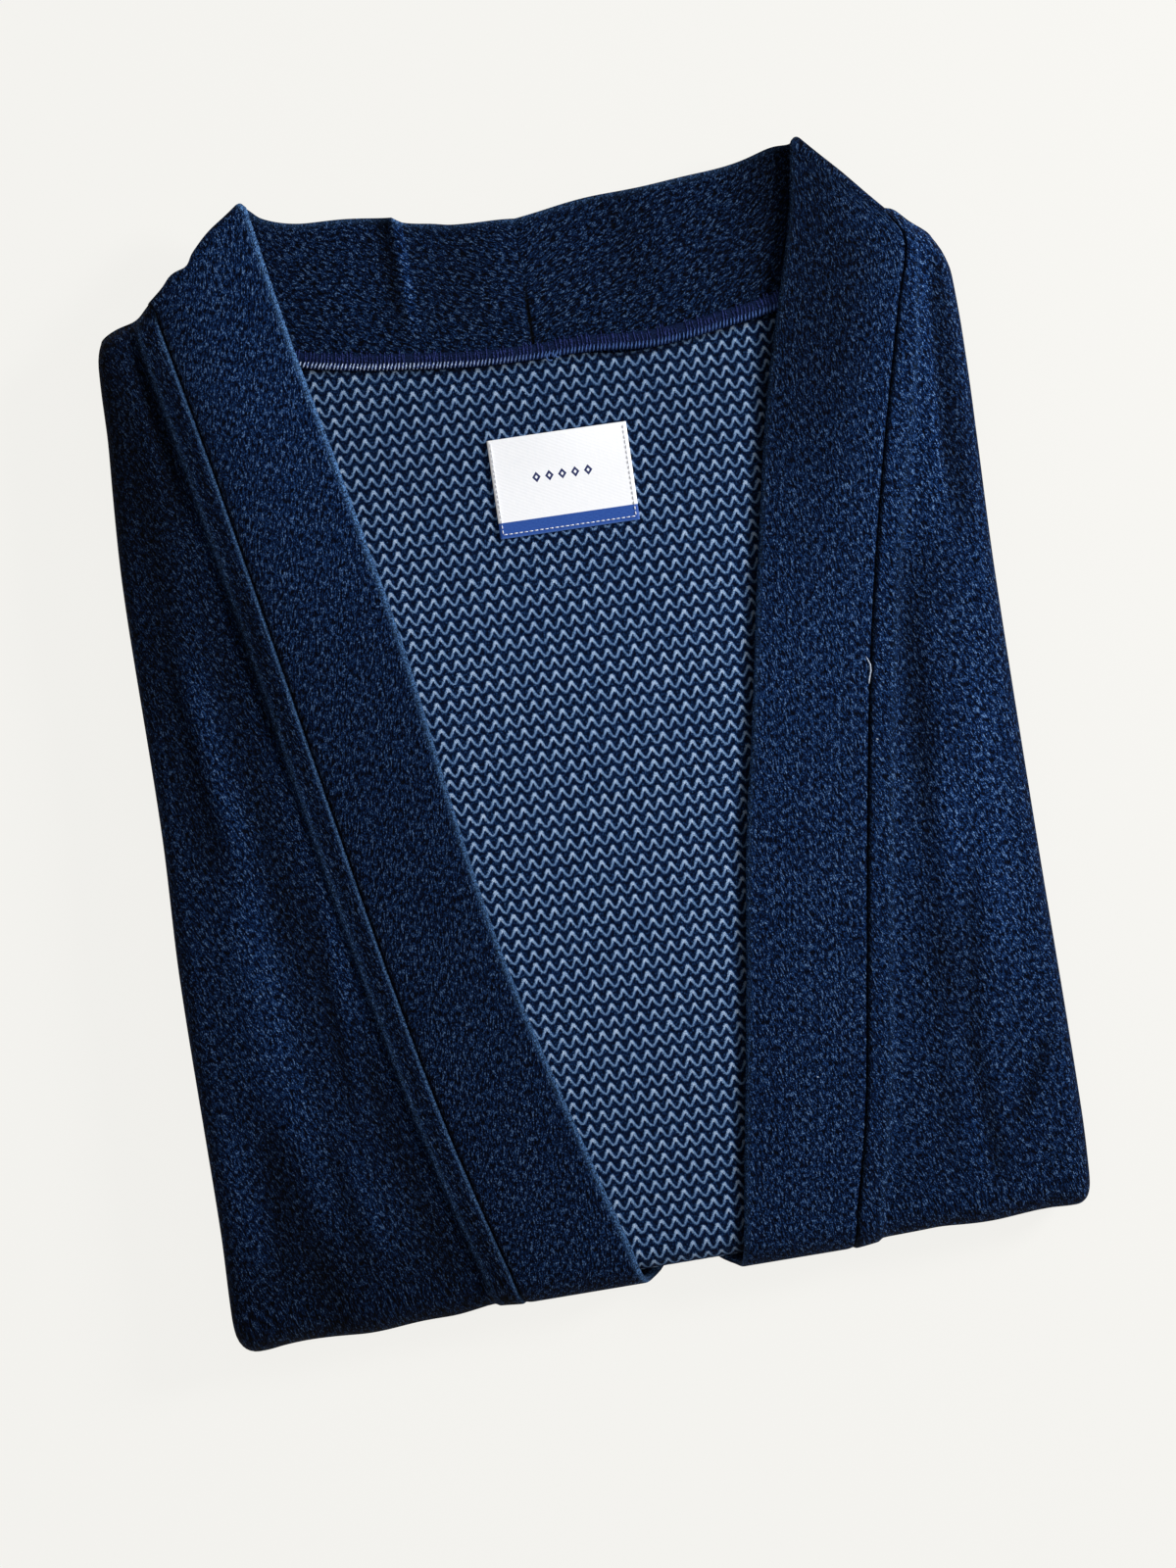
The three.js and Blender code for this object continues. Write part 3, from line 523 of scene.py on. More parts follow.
COLLARS = {
    "left": {
        "front": LEFT,
        "bulge": {"at": (0.26, 0.4, 0.68), "reach": (0.07, 0.06, 0.18), "out": (0.9, -1.6, 1.3)},
        "rulings": {
            "seam": (11, 24, 48, 80, 140, 300, 385, 411, 822),
            "edge": (-23.5, 2, 34, 70, 133, 292, 378, 411, 822),
        },
        "neck": {
            "along": (0, 0.14, 0.32, 0.5, 0.66, 0.82, 1),
            "seam_x": (-140.2, -121, -92, -66, -44, -18, 6.5),
            "seam_y": (189, 171.5, 159.5, 153.4, 150.1, 146.9, 145.7),
            "edge_x": (-97.3, -91.5, -78, -58, -40, -16, 7.5),
            "edge_y": (223.5, 218.8, 214.6, 213.6, 210.4, 204.2, 202),
            "edge_z": (22.0, 21.6, 20.6, 21.0, 21.4, 19.6, 19.2),
        },
    },
    "right": {
        "front": RIGHT,
        "bulge": {"at": (0.5,), "reach": (0.2,), "out": (0.3,)},
        "rulings": {
            "seam": (20, 38, 62, 98, 160, 300, 385, 411, 822),
            "edge": (-13, 10, 42, 82, 146, 288, 379, 411, 822),
        },
        "neck": {
            "along": (0, 0.14, 0.32, 0.52, 0.7, 0.86, 1),
            "seam_x": (151.6, 139, 112, 82, 54, 28, 6.5),
            "seam_y": (178, 163, 151.2, 145.9, 143.2, 145.4, 145.7),
            "edge_x": (120.6, 114, 99, 75, 50, 27, 7.5),
            "edge_y": (213.6, 213, 209.8, 207.4, 206.4, 205, 202),
            "edge_z": (22.0, 21.4, 20.4, 19.8, 19.6, 19.2, 19.2),
        },
    },
}

SEAM_ROUND = 0.03
EDGE_ROUND = 0.045
BAND_ACROSS = np.concatenate(
    [
        [0, 0.006, 0.014, 0.026, 0.04],
        np.linspace(0.06, 0.94, 34),
        1 - EDGE_ROUND * (1 - np.sin(np.radians([10, 25, 40, 55, 70, 80, 90]))),
    ]
)


def band_half(across):
    """Half the band's thickness, as a share: it rounds off at the seam and at the folded free edge."""
    seam = 0.72 + 0.28 * np.sqrt(1 - (1 - np.clip(across / SEAM_ROUND, 0, 1)) ** 2)
    out = np.clip((across - 1 + EDGE_ROUND) / EDGE_ROUND, 0, 1)
    edge = np.sqrt(np.maximum(1 - out * out, 0.01))
    return seam * edge


def neck_wave(x, across):
    crease = 2.0 * bell(x + 40.2, 2.2) - 0.9 * bell(x + 48, 5)
    waves = 0.7 * np.sin((x + 20) / 17) + 0.5 * np.sin(x / 9 + 1)
    return (crease + waves) * smooth(across, 0.15, 1)


def neck_point(collar, along, across, lift):
    at = {name: curve(collar["neck"], "along", name)(along) for name in collar["neck"] if name != "along"}
    x = mix(at["seam_x"], at["edge_x"], across)
    y = mix(at["seam_y"], at["edge_y"], across)
    z = mix(MID_Z + NECK_BAND, at["edge_z"], smooth(across, 0.35, 1))
    z = z + neck_wave(x, across) * smooth(along, 0, 0.3)
    notch = 1.6 * smooth(x, -41.5, -37.5) * (1 - smooth(x, -36, -22)) - 0.5 * smooth(x, -22, -12)
    y = y + (0.25 * np.sin(x / 6 + 1.5) - notch) * smooth(across, 0.6, 1) * smooth(along, 0.02, 0.2)
    return np.stack(np.broadcast_arrays(x, y, z + lift), -1)


def front_band_rings(collar):
    """The rings down the front, and the painted shade on each."""
    front = collar["front"]
    edge_of = curve(collar["rulings"], "seam", "edge")
    start = collar["rulings"]["seam"][0]
    rings, shades = [], []
    for seam in long_rows(start):
        edge = float(edge_of(seam))
        down = mix(seam, edge, BAND_ACROSS)
        seam_x = float(front.seam_x(seam)) - front.sign * 0.1
        x = mix(seam_x, float(front.edge_x(edge)), BAND_ACROSS)
        centre = level("band", down) - HALF_BAND + crown(front, x, down) + BAND_SAG * np.sin(turn_of(down))
        reach = HALF_BAND * band_half(BAND_ACROSS)
        flat = 1 - upper_share(down)
        low = 0.35 * bell(BAND_ACROSS, 0.03) * (1 - flat)
        outer = centre + mix(reach, HALF_BAND, flat) - low
        rings.append(wall(place(x, down, outer), place(x, down, centre - reach)))
        # Painted shade by place and slope
        shade = painted_shade_by_place(front, x, down)
        if front.name == "left":
            # Painted shadow along the seam, on the band
            shade = shade * painted_seam_shadow(front, BAND_ACROSS * abs(x[-1] - x[0]))
        shades.append(wall(shade, shade * INNER_SHADE))
    return rings, shades


def shoulder_band_rings(collar):
    top = MID_Z + UPPER["band"] - HALF_BAND
    low = MID_Z + NECK_BAND
    radius = (top - low) / 2
    neck = collar["neck"]
    seam = np.array([neck["seam_x"][0], neck["seam_y"][0], (top + low) / 2])
    edge = np.array([neck["edge_x"][0], neck["edge_y"][0], (top + low) / 2])
    line = (edge - seam) / np.linalg.norm(edge - seam)
    out = np.array([-line[1], line[0], 0]) * -collar["front"].sign
    bulge = np.zeros((len(BAND_ACROSS), 1))
    for at, wide, height in zip(*collar["bulge"].values()):
        bulge = bulge + height * bell(BAND_ACROSS - at, wide)[:, None]
    centre = seam + (edge - seam) * BAND_ACROSS[:, None]
    reach = (HALF_BAND * band_half(BAND_ACROSS))[:, None]
    rings = []
    for degrees in np.arange(15, 180, 15):
        away = out * math.sin(math.radians(degrees)) + np.array([0, 0, 1]) * math.cos(math.radians(degrees))
        outer = centre + away * (radius + reach) + out * bulge * math.sin(math.radians(degrees)) ** 2
        inner = centre + away * (radius - reach)
        rings.append(wall(outer, inner))
    return rings


NECK_ROWS = 72


def neck_band_rings(collar):
    reach = HALF_BAND * band_half(BAND_ACROSS)
    rings = []
    for along in np.concatenate([np.linspace(0, 0.985, NECK_ROWS - 3), [0.992, 0.997, 1]]):
        close = 1 - 0.25 * float(smooth(along, 0.985, 1))
        outer = neck_point(collar, along, BAND_ACROSS, -reach * close)
        inner = neck_point(collar, along, BAND_ACROSS, reach * close)
        rings.append(wall(outer, inner))
    return rings


BAND_WIDTH = 48
# The join at the centre back, the painted shade on the neck, and wear and painted highlight along the free
# edge
JOIN_DARK = 0.95
NECK_PAINTED_SHADE = 0.44
EDGE_WEAR_AND_HIGHLIGHT = {"left": 1.8, "right": 0.3, "neck": 0.5}


def neck_painted_light(x, across):
    """Painted highlight and shade along the neck: on the crease and the waves, and the painted shadow beside
    the right band.
    """
    crease = 2.0 * bell(x + 39.0, 1.7) - 0.5 * bell(x + 44.5, 3.6)
    waves = 0.13 * np.sin((x + 8) / 13) + 0.08 * np.sin(x / 5 + 1)
    return (1 + (crease + waves) * smooth(across, 0.1, 0.5)) * mix(0.42, 1.0, smooth(112 - x, 0, 36))


def collar_cloth(collar, material):
    name = collar["front"].name
    front_rings, front_shades = front_band_rings(collar)
    neck_rings = shoulder_band_rings(collar) + neck_band_rings(collar)
    rings = np.array(front_rings[::-1] + neck_rings)
    first = front_shades[0]
    shades = front_shades[::-1]
    folded = mirrored(BAND_ACROSS)
    for i, ring in enumerate(neck_rings):
        # Painted shade on the neck, with painted highlight on its crease and painted shadow beside the right
        # band
        tone = NECK_PAINTED_SHADE * neck_painted_light(ring[:, 0], folded)
        shades.append(mix(first, tone, smooth(i, 2, 14)))
    join = 1 - JOIN_DARK * (1 - smooth(folded, 0.4, 0.62))
    for i in (-1, -2):
        shades[i] = shades[i] * join
    half = len(BAND_ACROSS)
    middle = rings[:, half // 2]
    along = run_length(middle)
    u = BAND_WIDTH * wall(BAND_ACROSS, -BAND_ACROSS)
    uv = np.stack(np.broadcast_arrays(u[None, :], along[:, None]), -1)
    # Wear and painted highlight along the band's free edge, strongest on the left
    wear = bell(BAND_ACROSS - 0.985, 0.02)
    turned = smooth(np.arange(len(rings)) - len(front_rings), 0, 12)
    ends = mix(EDGE_WEAR_AND_HIGHLIGHT[name], EDGE_WEAR_AND_HIGHLIGHT["neck"], turned)
    wear = ends[:, None] * mirrored(wear)
    cloth = f"collar_{name}_cloth"
    piece = cloth_mesh(cloth, rings, material, "indigo_knit", uv, wear=wear, shade=shades)
    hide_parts(f"collar_{name}")
    return piece


# The neck label, and the overlocked allowance above it

LABEL = {"x": 9.4, "down": 104.4, "width": 56.0, "height": 39.6, "turn": -0.022, "thick": 0.5}
LABEL_STRIPE = 6.3


def label_point(u, v, lift):
    """u and v run from -0.5 to 0.5 across and down the label."""
    x = LABEL["x"] + u * LABEL["width"] + v * LABEL["height"] * LABEL["turn"]
    down = LABEL["down"] + v * LABEL["height"] - u * LABEL["width"] * LABEL["turn"]
    loose = 0.9 * (1 - smooth(v, -0.5, 0.1)) * (0.5 + np.cos(u * 5) / 2)
    return place(x, down, back_rise(x, down) + GAP + loose + lift)


def label_cloth(material):
    u = np.linspace(-0.5, 0.5, 57)
    rings, uvs = [], []
    for v in np.linspace(-0.5, 0.5, 41):
        top = label_point(u, v, 1.0)
        under = label_point(u, v, 1.0 - LABEL["thick"])
        rings.append(wall(top, under))
        flat = np.stack(np.broadcast_arrays((u + 0.5) * LABEL["width"], (v + 0.5) * LABEL["height"]), -1)
        uvs.append(mirrored(flat))
    piece = cloth_mesh("label_cloth", rings, material, "satin_label", uvs)
    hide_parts("neck_label")
    return piece


def thread_mesh(name, runs, radius, material, slot, sides=5):
    """Threads joined in one mesh: each run is a list of points in millimetres."""
    angle = np.linspace(0, 2 * math.pi, sides, endpoint=False)
    points, faces = [], []
    for run in runs:
        run = np.asarray(run, float)
        ahead = np.gradient(run, axis=0)
        ahead /= np.linalg.norm(ahead, axis=1)[:, None]
        side = np.cross(ahead, [0, 0, 1.0])
        side /= np.maximum(np.linalg.norm(side, axis=1)[:, None], 1e-6)
        over = np.cross(side, ahead)
        taper = np.ones(len(run))
        taper[[0, -1]] = 0.35
        first = sum(len(p) for p in points)
        ring = (
            run[:, None]
            + radius * taper[:, None, None] * np.cos(angle)[None, :, None] * side[:, None]
            + radius * taper[:, None, None] * np.sin(angle)[None, :, None] * over[:, None]
        )
        points.append(ring.reshape(-1, 3))
        for j in range(len(run) - 1):
            for k in range(sides):
                a = first + j * sides + k
                b = first + j * sides + (k + 1) % sides
                faces.append([a, b, b + sides, a + sides])
        faces.append([first + k for k in reversed(range(sides))])
        last = first + (len(run) - 1) * sides
        faces.append([last + k for k in range(sides)])
    return add_mesh(name, np.concatenate(points), faces, material, slot)


def label_stitches(material):
    runs = []

    def stitch(u1, v1, u2, v2):
        t = np.linspace(0, 1, 5)
        lift = 1.0 + 0.24 * np.sin(math.pi * t)
        runs.append(label_point(mix(u1, u2, t), mix(v1, v2, t), lift))

    inset_u = 1.3 / LABEL["width"]
    inset_v = 1.6 / LABEL["height"]
    for i in range(26):
        at = -0.5 + inset_u + (1 - 2 * inset_u) * i / 26
        stitch(at + 0.002, 0.5 - inset_v, at + 0.031, 0.5 - inset_v)
    for side in (-1, 1):
        for i in range(18):
            at = -0.47 + 0.93 * i / 18
            stitch(side * (0.5 - inset_u), at + 0.003, side * (0.5 - inset_u), at + 0.042)
    return thread_mesh("label_stitches", runs, 0.22, material, "sewing_thread")


# The overlock: how far up the band it reaches, where its loops end, their pitch and the share that is sunk
OVERLOCK_SHARE = 0.1
OVERLOCK_ENDS = (0.082, 0.092, 0.105, 0.118)
OVERLOCK_PITCH = 1.5
HIDDEN_LOOPS = 0.3
OVERLOCK_LIE = HALF_BAND + 0.1
OVERLOCK_FROM = 5 / 16
# Small loose loops of the looper thread, by the length along the neckline from the left
LOOSE_LOOPS = {"along": (106, 109), "radius": (1.5, 1.0)}


def overlock_line(across, lift, count):
    """Points along the neckline's allowance from the left collar to the right."""
    left = np.linspace(OVERLOCK_FROM, 1, count // 2)
    right = np.linspace(1, OVERLOCK_FROM, count - count // 2 + 1)[1:]
    run = [neck_point(COLLARS["left"], a, across, lift) for a in left]
    run += [neck_point(COLLARS["right"], a, across, lift) for a in right]
    return np.array(run)


def overlock_cloth(material):
    low = OVERLOCK_LIE
    across = np.array([-0.012, 0.0, 0.02, 0.05, 0.085, OVERLOCK_SHARE])
    lift = low + np.array([0.1, 0.5, 0.75, 0.8, 0.7, 0.15])
    count = 160
    top = np.stack([overlock_line(a, h, count) for a, h in zip(across, lift)], 1)
    under = np.stack([overlock_line(a, low, count) for a in across], 1)
    rings = np.concatenate([top, under[:, ::-1]], 1)
    along = run_length(top[:, 2])
    u = mirrored(across) * LABEL["width"]
    uv = np.stack(np.broadcast_arrays(u[None, :], along[:, None]), -1)
    piece = cloth_mesh("overlock_strip", rings, material, "overlock_thread", uv)
    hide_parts("neck_overlock")
    return piece


def overlock_threads(navy, pale):
    """Loops of overlock thread over the allowance, with the pale looper thread along its lower edge."""
    dense = {a: overlock_line(a, 0, 1600) for a in (-0.01, 0.01, 0.034, 0.06, *OVERLOCK_ENDS)}
    run = dense[0.06]
    length = run_length(run)
    low = OVERLOCK_LIE
    random = np.random.default_rng(7)

    def at(across, where, lift):
        points = dense[across]
        i = np.clip(np.interp(where, length, np.arange(len(length))), 0, len(length) - 1)
        x, y, z = (np.interp(i, np.arange(len(length)), points[:, k]) for k in range(3))
        return np.array([x, y, z + lift])

    cross, edge = [], []
    count = int(length[-1] / (OVERLOCK_PITCH / 2))
    for i in range(1, count - 1):
        s = i * OVERLOCK_PITCH / 2 + random.uniform(-0.12, 0.12)
        lean = 0.8 if i % 2 else -0.5
        reach = random.uniform(-0.25, 0.25)
        end = OVERLOCK_ENDS[random.integers(len(OVERLOCK_ENDS))]
        loop = [
            at(-0.01, s, low + 0.4),
            at(0.01, s + lean * 0.2, low + 0.95),
            at(0.06, s + lean * 0.8 + reach, low + 1.05),
            at(end, s + lean + reach, low + 0.55),
            at(end, s + lean + reach, low - 0.2),
        ]
        if random.uniform() > HIDDEN_LOOPS:
            cross.append(loop)
        if i % 2:
            edge.append(
                [
                    at(-0.01, s - 0.5, low + 0.5),
                    at(0.01, s - 0.15, low + 1.1),
                    at(0.034, s + random.uniform(0.1, 0.6), low + 1.12),
                ]
            )
    turn = np.linspace(-0.5, 5.2, 15)
    for where, wide in zip(LOOSE_LOOPS["along"], LOOSE_LOOPS["radius"]):
        middle = at(0.01, where, low + 0.7)
        edge.append(middle + wide * np.stack([np.cos(turn), np.sin(turn) - 0.7, 0.05 * turn], -1))
    fine = thread_mesh("overlock_threads", cross, 0.21, navy, "overlock_thread", 4)
    ticks = thread_mesh("overlock_edge_thread", edge, 0.38, pale, "sewing_thread", 5)
    return fine, ticks


# Lint caught in the right front's seam: where it lies, by x and down
LINT_THREAD = {"x": (116.6, 117.7, 117.5, 116.6, 115.9), "down": (193.6, 197, 199.6, 202, 204.5)}
SPECKS = {"x": (115.6, 70.1), "down": (226.7, 355.3)}
SPECK = 0.9


def lint(material):
    t = np.linspace(0, 1, 13)
    knots = np.linspace(0, 1, len(LINT_THREAD["x"]))
    x = np.interp(t, knots, LINT_THREAD["x"])
    down = np.interp(t, knots, LINT_THREAD["down"])
    lie = UPPER["band"] + 0.7
    runs = [place(x, down, lie + 0.3 * np.sin(math.pi * t))]
    for at_x, at_down in zip(*SPECKS.values()):
        speck_x = at_x + SPECK * np.array([-0.5, 0, 0.5])
        runs.append(place(speck_x, at_down + np.array([-0.2, 0.1, 0.3]), lie))
    return thread_mesh("lint", runs, 0.3, material, "sewing_thread")


# Colours of the cloth and the threads


def srgb(red, green, blue):
    """A screen colour, 0 to 255, as the linear colour that a shader takes, with its alpha."""
    shares = np.array([red, green, blue]) / 255
    linear = np.where(shares < 0.04, shares / 12.92, ((shares + 0.055) / 1.055) ** 2.4)
    return (*linear.tolist(), 1)


class Nodes:
    """Short calls for building a node tree."""

    def __init__(self, name):
        self.material = bpy.data.materials.new(name)
        self.material.use_nodes = True
        self.tree = self.material.node_tree
        self.shader = self.tree.nodes["Principled BSDF"]

    def add(self, kind, inputs=None, **settings):
        node = self.tree.nodes.new(kind)
        for key, value in settings.items():
            setattr(node, key, value)
        for key, value in (inputs or {}).items():
            self.set(node.inputs[key], value)
        return node

    def set(self, socket, value):
        if isinstance(value, bpy.types.NodeSocket):
            self.tree.links.new(value, socket)
        else:
            socket.default_value = value

    def math(self, operation, *values):
        node = self.add("ShaderNodeMath", operation=operation)
        for socket, value in zip(node.inputs, values):
            self.set(socket, value)
        return node.outputs[0]

    def times(self, *values):
        product = values[0]
        for value in values[1:]:
            product = self.math("MULTIPLY", product, value)
        return product

    def plus(self, *values):
        total = values[0]
        for value in values[1:]:
            total = self.math("ADD", total, value)
        return total

    def level(self, value, low, high):
        """0 to 1 stretched over low to high."""
        return self.math("MULTIPLY_ADD", value, high - low, low)

    def ramp(self, value, low, high):
        node = self.add("ShaderNodeMapRange", interpolation_type="SMOOTHSTEP")
        for key, entry in (("Value", value), ("From Min", low), ("From Max", high)):
            self.set(node.inputs[key], entry)
        return node.outputs[0]

    def colours(self, value, stops):
        node = self.add("ShaderNodeValToRGB", {"Fac": value})
        ramp = node.color_ramp
        while len(ramp.elements) < len(stops):
            ramp.elements.new(0.5)
        for element, (position, colour) in zip(ramp.elements, stops):
            element.position = position
            element.color = srgb(*colour)
        return node.outputs["Color"]

    def mix(self, share, a, b):
        node = self.add("ShaderNodeMix", data_type="RGBA")
        self.set(node.inputs[0], share)
        self.set(node.inputs[6], a)
        self.set(node.inputs[7], b)
        return node.outputs[2]

    def vector(self, x, y, z=0.0):
        return self.add("ShaderNodeCombineXYZ", {"X": x, "Y": y, "Z": z}).outputs[0]

    def noise(self, vector, scale, detail=2.0, roughness=0.5):
        """Noise spread over 0 to 1, about 0.5 in the middle."""
        inputs = {"Vector": vector, "Scale": scale, "Detail": detail, "Roughness": roughness}
        return self.add("ShaderNodeTexNoise", inputs).outputs["Fac"]

    def cells(self, x, y, randomness=1.0):
        """Distance from the middle of each cell, and the cell's own tone."""
        inputs = {"Vector": self.vector(x, y), "Scale": 1.0, "Randomness": randomness}
        node = self.add("ShaderNodeTexVoronoi", inputs, voronoi_dimensions="2D")
        tone = self.add("ShaderNodeSeparateXYZ", {"Vector": node.outputs["Color"]}).outputs[0]
        return node.outputs["Distance"], tone

    def field(self, name):
        return self.add("ShaderNodeAttribute", attribute_name=name).outputs["Fac"]

    def cloth_uv(self):
        """Millimetres across and along the cloth."""
        uv = self.add("ShaderNodeUVMap", uv_map="cloth").outputs[0]
        parts = self.add("ShaderNodeSeparateXYZ", {"Vector": uv})
        return parts.outputs[0], parts.outputs[1]

    def body_xy(self):
        """Millimetres across and along, for a piece with no cloth coordinates."""
        place = self.add("ShaderNodeTexCoord").outputs["Object"]
        parts = self.add("ShaderNodeSeparateXYZ", {"Vector": place})
        x, y, z = (self.times(part, 1000.0) for part in parts.outputs)
        return self.plus(x, z), self.plus(self.times(y, -1.0), z)

    def finish(self, colour, height, relief, roughness):
        bump = self.add("ShaderNodeBump", {"Height": height, "Distance": relief, "Strength": 1.0})
        self.set(self.shader.inputs["Base Color"], colour)
        self.set(self.shader.inputs["Normal"], bump.outputs[0])
        self.shader.inputs["Roughness"].default_value = roughness
        self.shader.inputs["Specular IOR Level"].default_value = 0.06
        return self.material


# The zigzag floats of the knit, in millimetres, and how high the knit stands, in metres
ZIGZAG_PITCH = 5.44
ZIGZAG_ROW = 5.18
ZIGZAG_HEIGHT = 7.3
ZIGZAG_ROUND = 0.8
KNIT_RELIEF = 0.0006


class Zigzag:
    """The rows of the knit: pointed at the top of each wave and rounded at the bottom."""

    def __init__(self, nodes, u, v):
        turn = nodes.times(u, math.pi / ZIGZAG_PITCH)
        sine = nodes.math("SINE", turn)
        cosine = nodes.math("COSINE", turn)
        square = nodes.times(sine, sine)
        soft = nodes.math("SQRT", nodes.plus(square, ZIGZAG_ROUND))
        place = nodes.math("DIVIDE", nodes.math("MULTIPLY_ADD", soft, -ZIGZAG_HEIGHT, v), ZIGZAG_ROW)
        self.row = nodes.math("FLOOR", place)
        self.across = nodes.math("SUBTRACT", nodes.math("FRACT", place), 0.5)
        lean = nodes.math("DIVIDE", nodes.times(sine, cosine), soft)
        slope = nodes.times(lean, ZIGZAG_HEIGHT * math.pi / ZIGZAG_PITCH)
        steep = nodes.math("SQRT", nodes.plus(nodes.times(slope, slope), 1.0))
        off = nodes.times(nodes.math("ABSOLUTE", self.across), ZIGZAG_ROW)
        self.distance = nodes.math("DIVIDE", off, steep)
        self.peak = nodes.math("SUBTRACT", 1.0, square)
        self.falling = nodes.ramp(lean, -0.35, 0.35)


def warped(nodes, u, v, amount):
    """Cloth coordinates pushed about a little, as in a knit of slubby thread."""
    push = nodes.math("SUBTRACT", nodes.noise(nodes.vector(u, v), 0.22, 3), 0.5)
    pull = nodes.math("SUBTRACT", nodes.noise(nodes.vector(v, u, 7.0), 0.22, 3), 0.5)
    return nodes.math("MULTIPLY_ADD", push, amount, u), nodes.math("MULTIPLY_ADD", pull, amount, v)


def indigo_knit(name, on_solid=False):
    """The cloth's outer face: broken slanting strands and pale flecks on deep indigo."""
    nodes = Nodes(name)
    u, v = nodes.body_xy() if on_solid else nodes.cloth_uv()
    u, v = warped(nodes, u, v, 0.8)
    wave = Zigzag(nodes, u, v)
    slant = nodes.math("MULTIPLY_ADD", v, -0.32, u)
    strand = nodes.noise(nodes.vector(slant, nodes.times(v, 0.3)), 1.3, 2, 0.6)
    grain = nodes.noise(nodes.vector(slant, nodes.times(v, 0.5)), 2.6, 2, 0.8)
    near, glint = nodes.cells(nodes.math("DIVIDE", slant, 0.6), nodes.math("DIVIDE", v, 0.9))
    row = nodes.times(nodes.ramp(wave.distance, 1.5, 0.45), nodes.level(wave.falling, 0.7, 1.0))
    grainy = nodes.level(nodes.ramp(grain, 0.32, 0.68), 0.02, 1.6)
    fleck = nodes.times(nodes.ramp(strand, 0.36, 0.68), grainy)
    spark = nodes.times(nodes.ramp(near, 0.55, 0.1), nodes.math("POWER", glint, 3.5))
    drawn = nodes.times(fleck, nodes.level(row, 0.52, 0.88))
    light = nodes.plus(drawn, nodes.times(row, 0.04), nodes.times(spark, 0.7))
    patch = nodes.noise(nodes.vector(u, v), 0.03, 3)
    light = nodes.times(light, nodes.level(patch, 0.85, 1.15))
    colour = nodes.colours(
        light,
        [
            (0.0, (0, 4, 15)),
            (0.16, (3, 13, 37)),
            (0.42, (14, 44, 94)),
            (0.75, (44, 90, 156)),
            (1.0, (128, 166, 216)),
        ],
    )
    if not on_solid:
        # The wear and painted highlight lighten the cloth towards pale blue, and the painted shade darkens
        # it
        wear = nodes.field("wear")
        shade = nodes.field("shade")
        slub = nodes.noise(nodes.vector(u, v, 9.0), 1.0, 3, 0.8)
        broken = nodes.level(nodes.ramp(grain, 0.42, 0.6), 0.12, 1.25)
        worn_and_highlit = nodes.times(wear, nodes.ramp(slub, 0.36, 0.62), broken)
        rubbed_and_highlit = nodes.mix(nodes.math("MINIMUM", worn_and_highlit, 1.0), colour, srgb(108, 158, 222))
        colour = nodes.mix(shade, (0, 0, 0, 1), rubbed_and_highlit)
    height = nodes.plus(nodes.times(row, 0.6), nodes.times(fleck, 0.7), nodes.times(grain, 0.4))
    return nodes.finish(colour, height, KNIT_RELIEF, 0.9)


def knit_inside(name):
    """The cloth's inner face: pale blue floats in zigzag rows on navy."""
    nodes = Nodes(name)
    u, v = warped(nodes, *nodes.cloth_uv(), 0.9)
    thread = nodes.noise(nodes.vector(u, v), 1.5, 3, 0.7)
    fuzz = nodes.noise(nodes.vector(u, v, 5.0), 1.4, 3, 0.7)
    shaken = nodes.math("MULTIPLY_ADD", thread, 1.5, u)
    wave = Zigzag(nodes, shaken, nodes.math("MULTIPLY_ADD", fuzz, 1.5, v))
    peak = nodes.math("POWER", wave.peak, 4.0)
    half = nodes.plus(nodes.times(peak, 0.26), nodes.level(thread, 0.0, 0.7))
    line = nodes.ramp(nodes.math("SUBTRACT", wave.distance, half), 0.66, -0.2)
    ply = nodes.noise(nodes.vector(u, v, 3.0), 3.0, 2, 0.7)
    strand = nodes.ramp(ply, 0.3, 0.68)
    along = nodes.vector(nodes.math("DIVIDE", u, 3.0), nodes.times(wave.row, 3.7))
    run = nodes.noise(along, 0.6, 2)
    tone = nodes.times(nodes.level(strand, 0.58, 1.14), nodes.level(run, 0.78, 1.22))
    light = nodes.times(line, tone, nodes.level(peak, 0.72, 1.0))
    far, shade = nodes.cells(nodes.math("DIVIDE", u, 0.9), nodes.math("DIVIDE", v, 1.0))
    speck = nodes.times(nodes.ramp(far, 0.7, 0.05), nodes.level(shade, 0.06, 0.5))
    total = nodes.math("MAXIMUM", light, nodes.times(speck, nodes.level(strand, 0.3, 1.2)))
    colour = nodes.colours(
        total,
        [
            (0.0, (2, 12, 34)),
            (0.2, (12, 34, 72)),
            (0.45, (40, 74, 122)),
            (0.75, (128, 164, 210)),
            (1.0, (206, 223, 247)),
        ],
    )
    shade = nodes.field("shade")
    colour = nodes.mix(shade, (0, 0, 0, 1), colour)
    height = nodes.plus(line, nodes.times(strand, 0.35))
    return nodes.finish(colour, height, KNIT_RELIEF, 0.88)


def thread_material(name, deep, light, far_side=None):
    """Sewing thread. far_side is the colour that it turns to on the packet's right."""
    nodes = Nodes(name)
    u, v = nodes.body_xy()
    twist = nodes.noise(nodes.vector(u, v), 1.7, 2)
    colour = nodes.mix(nodes.ramp(twist, 0.36, 0.64), srgb(*deep), srgb(*light))
    if far_side:
        colour = nodes.mix(nodes.ramp(u, -30.0, 40.0), colour, srgb(*far_side))
    return nodes.finish(colour, twist, 0.0001, 0.7)


# The row of diamonds on the label, in millimetres
DIAMOND = {"pitch": 5.2, "half": 1.7, "hollow": 0.65, "row": 13.2, "down": 0.43 * LABEL["height"]}
SATIN_RIB = 0.55


